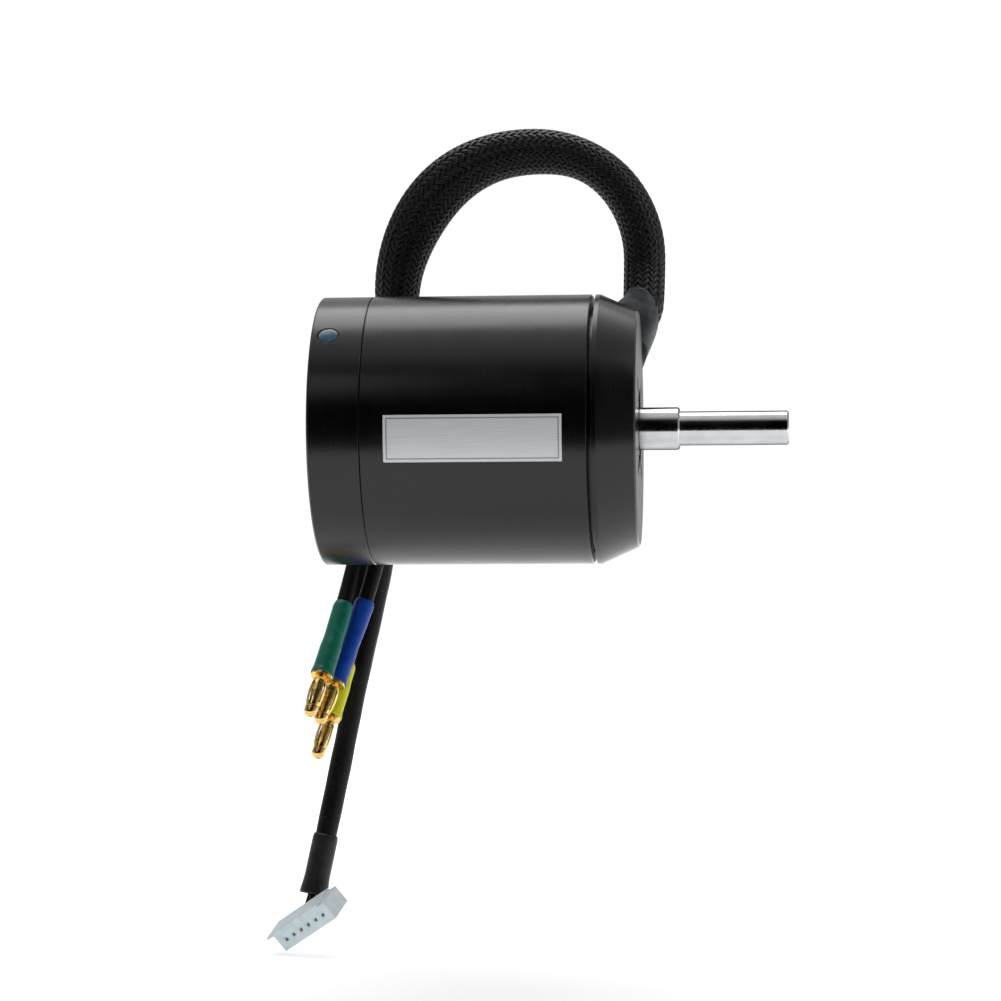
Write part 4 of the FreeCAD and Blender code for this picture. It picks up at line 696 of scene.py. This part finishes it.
def braid():
    """Flat two-ply strands in both directions, each over two and under two of the others."""
    points, faces = [], []
    pitch = 2 * math.pi / STRANDS
    sides = len(STRAND_SECTION)
    for way in (1, -1):
        for strand in range(STRANDS):
            slack = 0.03 * rng.standard_normal()
            rings = []
            for across, lift in STRAND_SECTION:
                angle = way * sleeve_run * TURN_PER_MM + pitch * (strand + across + slack)
                other = (angle + way * sleeve_run * TURN_PER_MM) / pitch
                phase = (strand + other) * math.pi / 2
                wave = np.clip(1.5 * np.sin(phase), -1, 1) * WEAVE_DEPTH * way
                rings.append(sleeve_surface(sleeve_path, angle, wave + lift))
            strand_points = np.stack(rings, axis=1).reshape(-1, 3).tolist()
            add_capped(points, faces, strand_points, len(sleeve_path), sides)
    made_object("braided_sleeve", points, faces, braid_black, "stator", ("cable_sleeve",))


braid()


def sleeve_wrap():
    """Shrunk ring over the braid's lower end, slightly rippled."""
    sides = 48
    path = sleeve_path[sleeve_run > sleeve_run[-1] - WRAP_LENGTH]
    run = lengths(path)
    radius = 5.75 + 0.18 * soft(run / 1.2) - 0.5 * soft((run - run[-1] + 1.5) / 1.5)
    around = np.linspace(0, 2 * math.pi, sides, endpoint=False)
    ripples = 0.1 * np.sin(around * 3 + 1.0)[None] * np.sin(run / 2.4)[:, None]
    ripples = ripples + 0.08 * np.sin(around * 4)[None]
    outer = round_rings(path, radius, sides)
    outer += (outer - path[:, None]) / radius[:, None, None] * ripples[..., None]
    shell("sleeve_wrap", outer, round_rings(path, radius - 0.45, sides), wrap_black,
          ("sleeve_end_wrap",))


sleeve_wrap()


# ---------------------------------------------------------------- exit boot

CONE_CLEARANCE = 0.2
BOOT_START = 28.8 + CONE_CLEARANCE - EXIT_BEND_START
BOOT_WALL = 0.25
BOOT_ROOM = 0.75                     # from the leads to the boot's outer face
BOOT_RIDGE = math.radians(299)       # the nearest lead shows through as a ridge


def boot_edge(turn):
    """Distance at which the boot ends: lowest towards the can's front, highest at its sides."""
    slope = 5.6 + 1.55 * math.cos(turn) + 0.15 * math.sin(turn) - 1.75 * math.cos(2 * turn)
    return BEND_LENGTH + slope + 0.15 * math.sin(5 * turn)


def boot_section(distance, turn):
    """Inwards and aside: the share of the way round and the half size of the boot's outer face."""
    offsets = [lane_offset(lane, float(twist_at(distance))) for lane in range(4)]
    width = max(abs(inside) for inside, _ in offsets) + LEAD_RADIUS + BOOT_ROOM
    length = max(abs(beside) for _, beside in offsets) + LEAD_RADIUS + BOOT_ROOM
    cos, sin = math.cos(turn), math.sin(turn)
    past_bend = distance - BEND_LENGTH
    _, _, depth = sleeve_section(max(past_bend - BRAID_FOOT, 0.0), 0.0)
    length = max(length, (depth + 0.62) * float(soft((past_bend + 0.5) / 3.0)))
    if cos < 0:
        wanted = 6.9 - 0.155 * (distance + 1.0)
        width += (wanted - width) * float(soft((distance - BOOT_START) / 4.5))
    else:
        wanted = 5.25 + 1.35 * float(soft((7.4 - past_bend) / 4.0))
        width += (wanted - width) * float(soft((distance - BOOT_START - 1.0) / 9.0))
    square = 0.55 + 0.45 * float(soft((past_bend - 1.0) / 6.0))
    return ((math.copysign(abs(cos) ** square, cos), width), (math.copysign(abs(sin) ** square, sin), length))


def boot_folds(distance, turn):
    """Height of the shallow folds and of the ridge over the nearest lead."""
    folds = 0.05 * math.sin(4 * turn + 0.5) + 0.03 * math.sin(7 * turn + distance * 0.4)
    ridge = 0.5 * math.exp(-((turn - BOOT_RIDGE) / 0.17) ** 2)
    return folds + ridge * float(soft((distance - 4.0) / 6.0))


def boot():
    """Shrunk sleeve from the cone to the braid: flat over the row of leads, sloping at its top."""
    rows, sides = 44, 96
    outer, inner = [], []
    for row in np.linspace(0, 1, rows):
        outer_ring, inner_ring = [], []
        for turn in np.linspace(0, 2 * math.pi, sides, endpoint=False):
            distance = BOOT_START + (boot_edge(turn) - BOOT_START) * row
            point = rise_point(distance)
            direction = unit(rise_point(distance + 0.1) - rise_point(distance - 0.1))
            inward = unit(np.cross(direction, (0, 1, 0)))
            aside = np.cross(inward, direction)
            (x, width), (y, length) = boot_section(distance, turn)
            folds = boot_folds(distance, turn)
            for wall, ring in ((folds, outer_ring), (folds - BOOT_WALL, inner_ring)):
                ring.append(point + inward * (x * (width + wall)) + aside * (y * (length + wall)))
        outer.append(outer_ring)
        inner.append(inner_ring)
    shell("exit_boot_skin", np.array(outer), np.array(inner), boot_black, ("exit_boot",))


boot()


# ---------------------------------------------------------------- sensor cable

CABLE_MIDDLE = np.array([-73.5, 43.0, -64.8])
CABLE_END = np.array([-82.4, 38.2, -110.5])
CABLE_END_WAY = unit([-0.19, -0.14, -0.97])
PLUG_ROW = unit([0.770, -0.378, 0.515])
MOUTH_LENGTH = 13.5       # of the last sleeve over the jacket
MOUTH_REACH = 2.0         # and how far it reaches over the fanned wires
WIRE_COUNT = 6
WIRE_RADIUS = 0.5
WIRE_RING = 1.16          # the wires lie on this radius inside the jacket
PLUG_PITCH = 2.5
PLUG_DEPTH = 9.0
plug_face, plug_axis = plug_pose("sensor_plug")

bundled = lane_path(3)
way = unit(CABLE_END - bundled[-1])
hanging = np.concatenate([bundled[-3:], bezier(bundled[-1], leaving(bundled), CABLE_MIDDLE, way),
                          bezier(CABLE_MIDDLE, way, CABLE_END, CABLE_END_WAY)])
hanging = eased(hanging, 1.2)
hanging_run = lengths(hanging)


def sensor_jacket():
    """Slightly wavy sleeve over the six sensor wires."""
    path = hanging[(hanging_run > 5.5) & (hanging_run < hanging_run[-1] - 1.5)]
    run = lengths(path)
    radius = 2.7 + 0.04 * np.sin(run / 4.7) + 0.03 * np.sin(run / 1.9)
    shell("sensor_cable", round_rings(path, radius, 32), round_rings(path, radius - 0.5, 32),
          jacket_black, ("sensor_cable_jacket",))


def sensor_mouth():
    """Wider sleeve over the jacket's end, flared over the fanned wires."""
    beyond = CABLE_END + CABLE_END_WAY * np.arange(STEP, MOUTH_REACH + 0.1, STEP)[:, None]
    path = np.concatenate([hanging[hanging_run > hanging_run[-1] - MOUTH_LENGTH], beyond])
    run = lengths(path)
    radius = 2.95 + 0.2 * soft(run / 1.0) + 0.35 * soft((run - run[-1] + 5) / 5)
    shell("sensor_cable_mouth", round_rings(path, radius, 40), round_rings(path, radius - 0.4, 40),
          wrap_black, ("sensor_cable_end_sleeve",))


sensor_jacket()
sensor_mouth()


def plug_place(number):
    """Offset of one way of the plug along its row."""
    return PLUG_PITCH * (number - (WIRE_COUNT - 1) / 2)


def sensor_wire_paths():
    """Six wires from the sleeve's end, through the jacket, fanned out to the plug."""
    inward, aside = frames(hanging)
    row_turn = math.atan2(PLUG_ROW @ aside[-1], PLUG_ROW @ inward[-1])
    ring_places = (180, 120, 240, 60, 300, 0)
    for number, degrees in enumerate(ring_places):
        angle = row_turn + math.radians(degrees)
        held = hanging + WIRE_RING * (inward * math.cos(angle) + aside * math.sin(angle))
        back = plug_face - plug_axis * PLUG_DEPTH + PLUG_ROW * plug_place(number)
        fan = bezier(held[-1], CABLE_END_WAY, back, plug_axis)
        yield eased(np.concatenate([held, fan, [back + plug_axis * 2.1]]), 0.8)


def sensor_wires():
    points, faces = [], []
    for path in sensor_wire_paths():
        rings = round_rings(path, WIRE_RADIUS, 12)
        count, sides = rings.shape[:2]
        add_capped(points, faces, rings.reshape(-1, 3).tolist(), count, sides)
    made_object("sensor_wire_fan", points, faces, lead_black, "stator", ("sensor_wires",))


sensor_wires()


def plug_mouths():
    """Square lead-in round each contact, flush with the plug's mating face."""
    row = unit(PLUG_ROW - plug_axis * (PLUG_ROW @ plug_axis))
    across = np.cross(plug_axis, row)
    points, faces = [], []
    for number in range(WIRE_COUNT):
        centre = plug_face + row * plug_place(number)
        first = len(points)
        for half, depth in ((0.66, -0.02), (0.47, -0.02), (0.36, 0.3), (0.36, 0.9), (0.66, 0.9)):
            for x, y in ((-1, -1), (1, -1), (1, 1), (-1, 1)):
                points.append(centre - plug_axis * depth + row * (x * half) + across * (y * half))
        faces += ring_faces(5, 4, first, joined=True)
    made_object("sensor_plug_lead_ins", points, faces, white_plug, "stator", smooth=False)


plug_mouths()


# ---------------------------------------------------------------- threadlock drops

SCREW_TURNS = (140.0, 320.0)
SCREW_X = -70.0
DROP_RADIUS = 2.42
DROP_FOOT = 31.2          # from the shaft's axis to the drop's rim
DROP_HEIGHT = 0.45


def threadlock_drops():
    """A glossy drop in the mouth of each set screw hole."""
    points, faces = [], []
    sides, rows = 32, 9
    for turn in SCREW_TURNS:
        angle = math.radians(turn)
        out = np.array([0, math.cos(angle), math.sin(angle)])
        side = np.cross(out, (1, 0, 0))
        drop = []
        for row in range(rows):
            lift = math.pi / 2 * row / (rows - 1)
            radius = DROP_RADIUS * math.cos(lift) + 0.001
            top = out * (DROP_FOOT + DROP_HEIGHT * math.sin(lift))
            for j in range(sides):
                around = 2 * math.pi * j / sides
                offset = radius * (1 + 0.02 * math.sin(2 * around + 0.8))
                drop.append(top + np.array([SCREW_X + offset * math.cos(around), 0, 0])
                            + side * (offset * math.sin(around)))
        add_capped(points, faces, drop, rows, sides)
    made_object("threadlock_drops", points, faces, threadlock, "rotor", ("threadlock_seals",))


threadlock_drops()


# ---------------------------------------------------------------- floor, light, camera

def floor():
    """Pale plane just under the lowest point, with a painted glow that brightens it where it runs into the
    white background.
    """
    mesh = bpy.data.meshes.new("floor")
    far, near = 4.0, -0.36
    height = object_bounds()[0][2] - 0.6 * MM
    mesh.from_pydata([(-far, near, height), (far, near, height), (far, far, height), (-far, far, height)], [],
                     [(0, 1, 2, 3)])
    plane = bpy.data.objects.new("floor", mesh)
    bpy.context.scene.collection.objects.link(plane)
    look = Look("floor_white", (0.8, 0.8, 0.8), 0.6)
    look.colour(look.mix(look.noise(0.005), (0.8, 0.8, 0.8), (0.82, 0.82, 0.82)))
    look.set(Emission_Color=(1, 1, 1, 1))
    # painted glow: emission grows from 0.5 near the object to 1.1 further out, so the floor glows with no
    # lamp
    painted_floor_glow = look.spread(look.ground_distance(), 0.5, 1.1, 0.2, 0.7)
    look.link(painted_floor_glow, look.shader.inputs["Emission Strength"])
    mesh.materials.append(look.material)
    plane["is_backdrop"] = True


floor()


def studio():
    """White behind and above, dim in front of the object; the camera sees plain white."""
    world = bpy.data.worlds.new("studio")
    bpy.context.scene.world = world
    world.use_nodes = True
    tree = world.node_tree
    tree.nodes.clear()

    def node(kind, **settings):
        made = tree.nodes.new(kind)
        for key, value in settings.items():
            setattr(made, key, value)
        return made

    def ranged(source, low, high, to_low, to_high):
        made = node("ShaderNodeMapRange", interpolation_type="SMOOTHSTEP")
        tree.links.new(source, made.inputs["Value"])
        ranges = {"From Min": low, "From Max": high, "To Min": to_low, "To Max": to_high}
        for key, given in ranges.items():
            made.inputs[key].default_value = given
        return made.outputs["Result"]

    direction = node("ShaderNodeTexCoord").outputs["Generated"]
    parts = node("ShaderNodeSeparateXYZ")
    tree.links.new(direction, parts.inputs[0])
    above = ranged(parts.outputs["Z"], 0.66, 1.0, 0.0, 0.9)
    behind = ranged(parts.outputs["Y"], 0.1, 0.8, 0.0, 0.7)
    total = node("ShaderNodeMath", operation="ADD")
    tree.links.new(above, total.inputs[0])
    tree.links.new(behind, total.inputs[1])
    sides = node("ShaderNodeMath", operation="ABSOLUTE")
    tree.links.new(parts.outputs["X"], sides.inputs[0])
    beside = ranged(sides.outputs[0], 0.6, 0.98, 0.0, 0.45)
    more = node("ShaderNodeMath", operation="ADD")
    tree.links.new(total.outputs[0], more.inputs[0])
    tree.links.new(beside, more.inputs[1])
    lit = node("ShaderNodeBackground")
    tree.links.new(more.outputs[0], lit.inputs["Strength"])
    seen = node("ShaderNodeBackground")
    seen.inputs["Color"].default_value = (1, 1, 1, 1)
    seen.inputs["Strength"].default_value = 1.05
    path = node("ShaderNodeLightPath")
    mixed = node("ShaderNodeMixShader")
    tree.links.new(path.outputs["Is Camera Ray"], mixed.inputs["Fac"])
    tree.links.new(lit.outputs[0], mixed.inputs[1])
    tree.links.new(seen.outputs[0], mixed.inputs[2])
    output = node("ShaderNodeOutputWorld")
    tree.links.new(mixed.outputs[0], output.inputs["Surface"])


studio()


def softbox(name, place, aim, width, height, power):
    data = bpy.data.lights.new(name, "AREA")
    data.shape = "RECTANGLE"
    data.size, data.size_y = width, height
    data.energy = power
    light = bpy.data.objects.new(name, data)
    light.location = place
    light.rotation_euler = (Vector(aim) - Vector(place)).to_track_quat("-Z", "Y").to_euler()
    bpy.context.scene.collection.objects.link(light)
    light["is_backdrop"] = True


softbox("top_box", (-0.1, 0.35, 0.95), (-0.03, 0.0, 0.0), 0.95, 0.6, 5.2)
softbox("front_box", (-0.35, -0.75, 0.55), (-0.03, 0.0, -0.05), 0.3, 0.3, 0.35)
softbox("side_box", (0.85, -0.1, 0.75), (0.0, 0.0, 0.0), 0.3, 0.3, 1.6)



def camera():
    """Long lens, level with the motor, a little below its axis and looking slightly up and left."""
    place = Vector((0.023787, -0.657488, -0.044470))
    forward = Vector((-0.08552, 0.99544, 0.04225)).normalized()
    right = forward.cross(Vector((0.00614, -0.04187, 0.99910))).normalized()
    up = right.cross(forward)
    data = bpy.data.cameras.new("camera")
    data.sensor_width = 36.0
    data.lens = 101.27
    data.clip_start = 0.01
    data.clip_end = 20.0
    made = bpy.data.objects.new("camera", data)
    made.matrix_world = Matrix.Translation(place) @ Matrix((right, up, -forward)).transposed().to_4x4()
    bpy.context.scene.collection.objects.link(made)
    bpy.context.scene.camera = made


camera()
bpy.context.scene.view_settings.view_transform = "Standard"
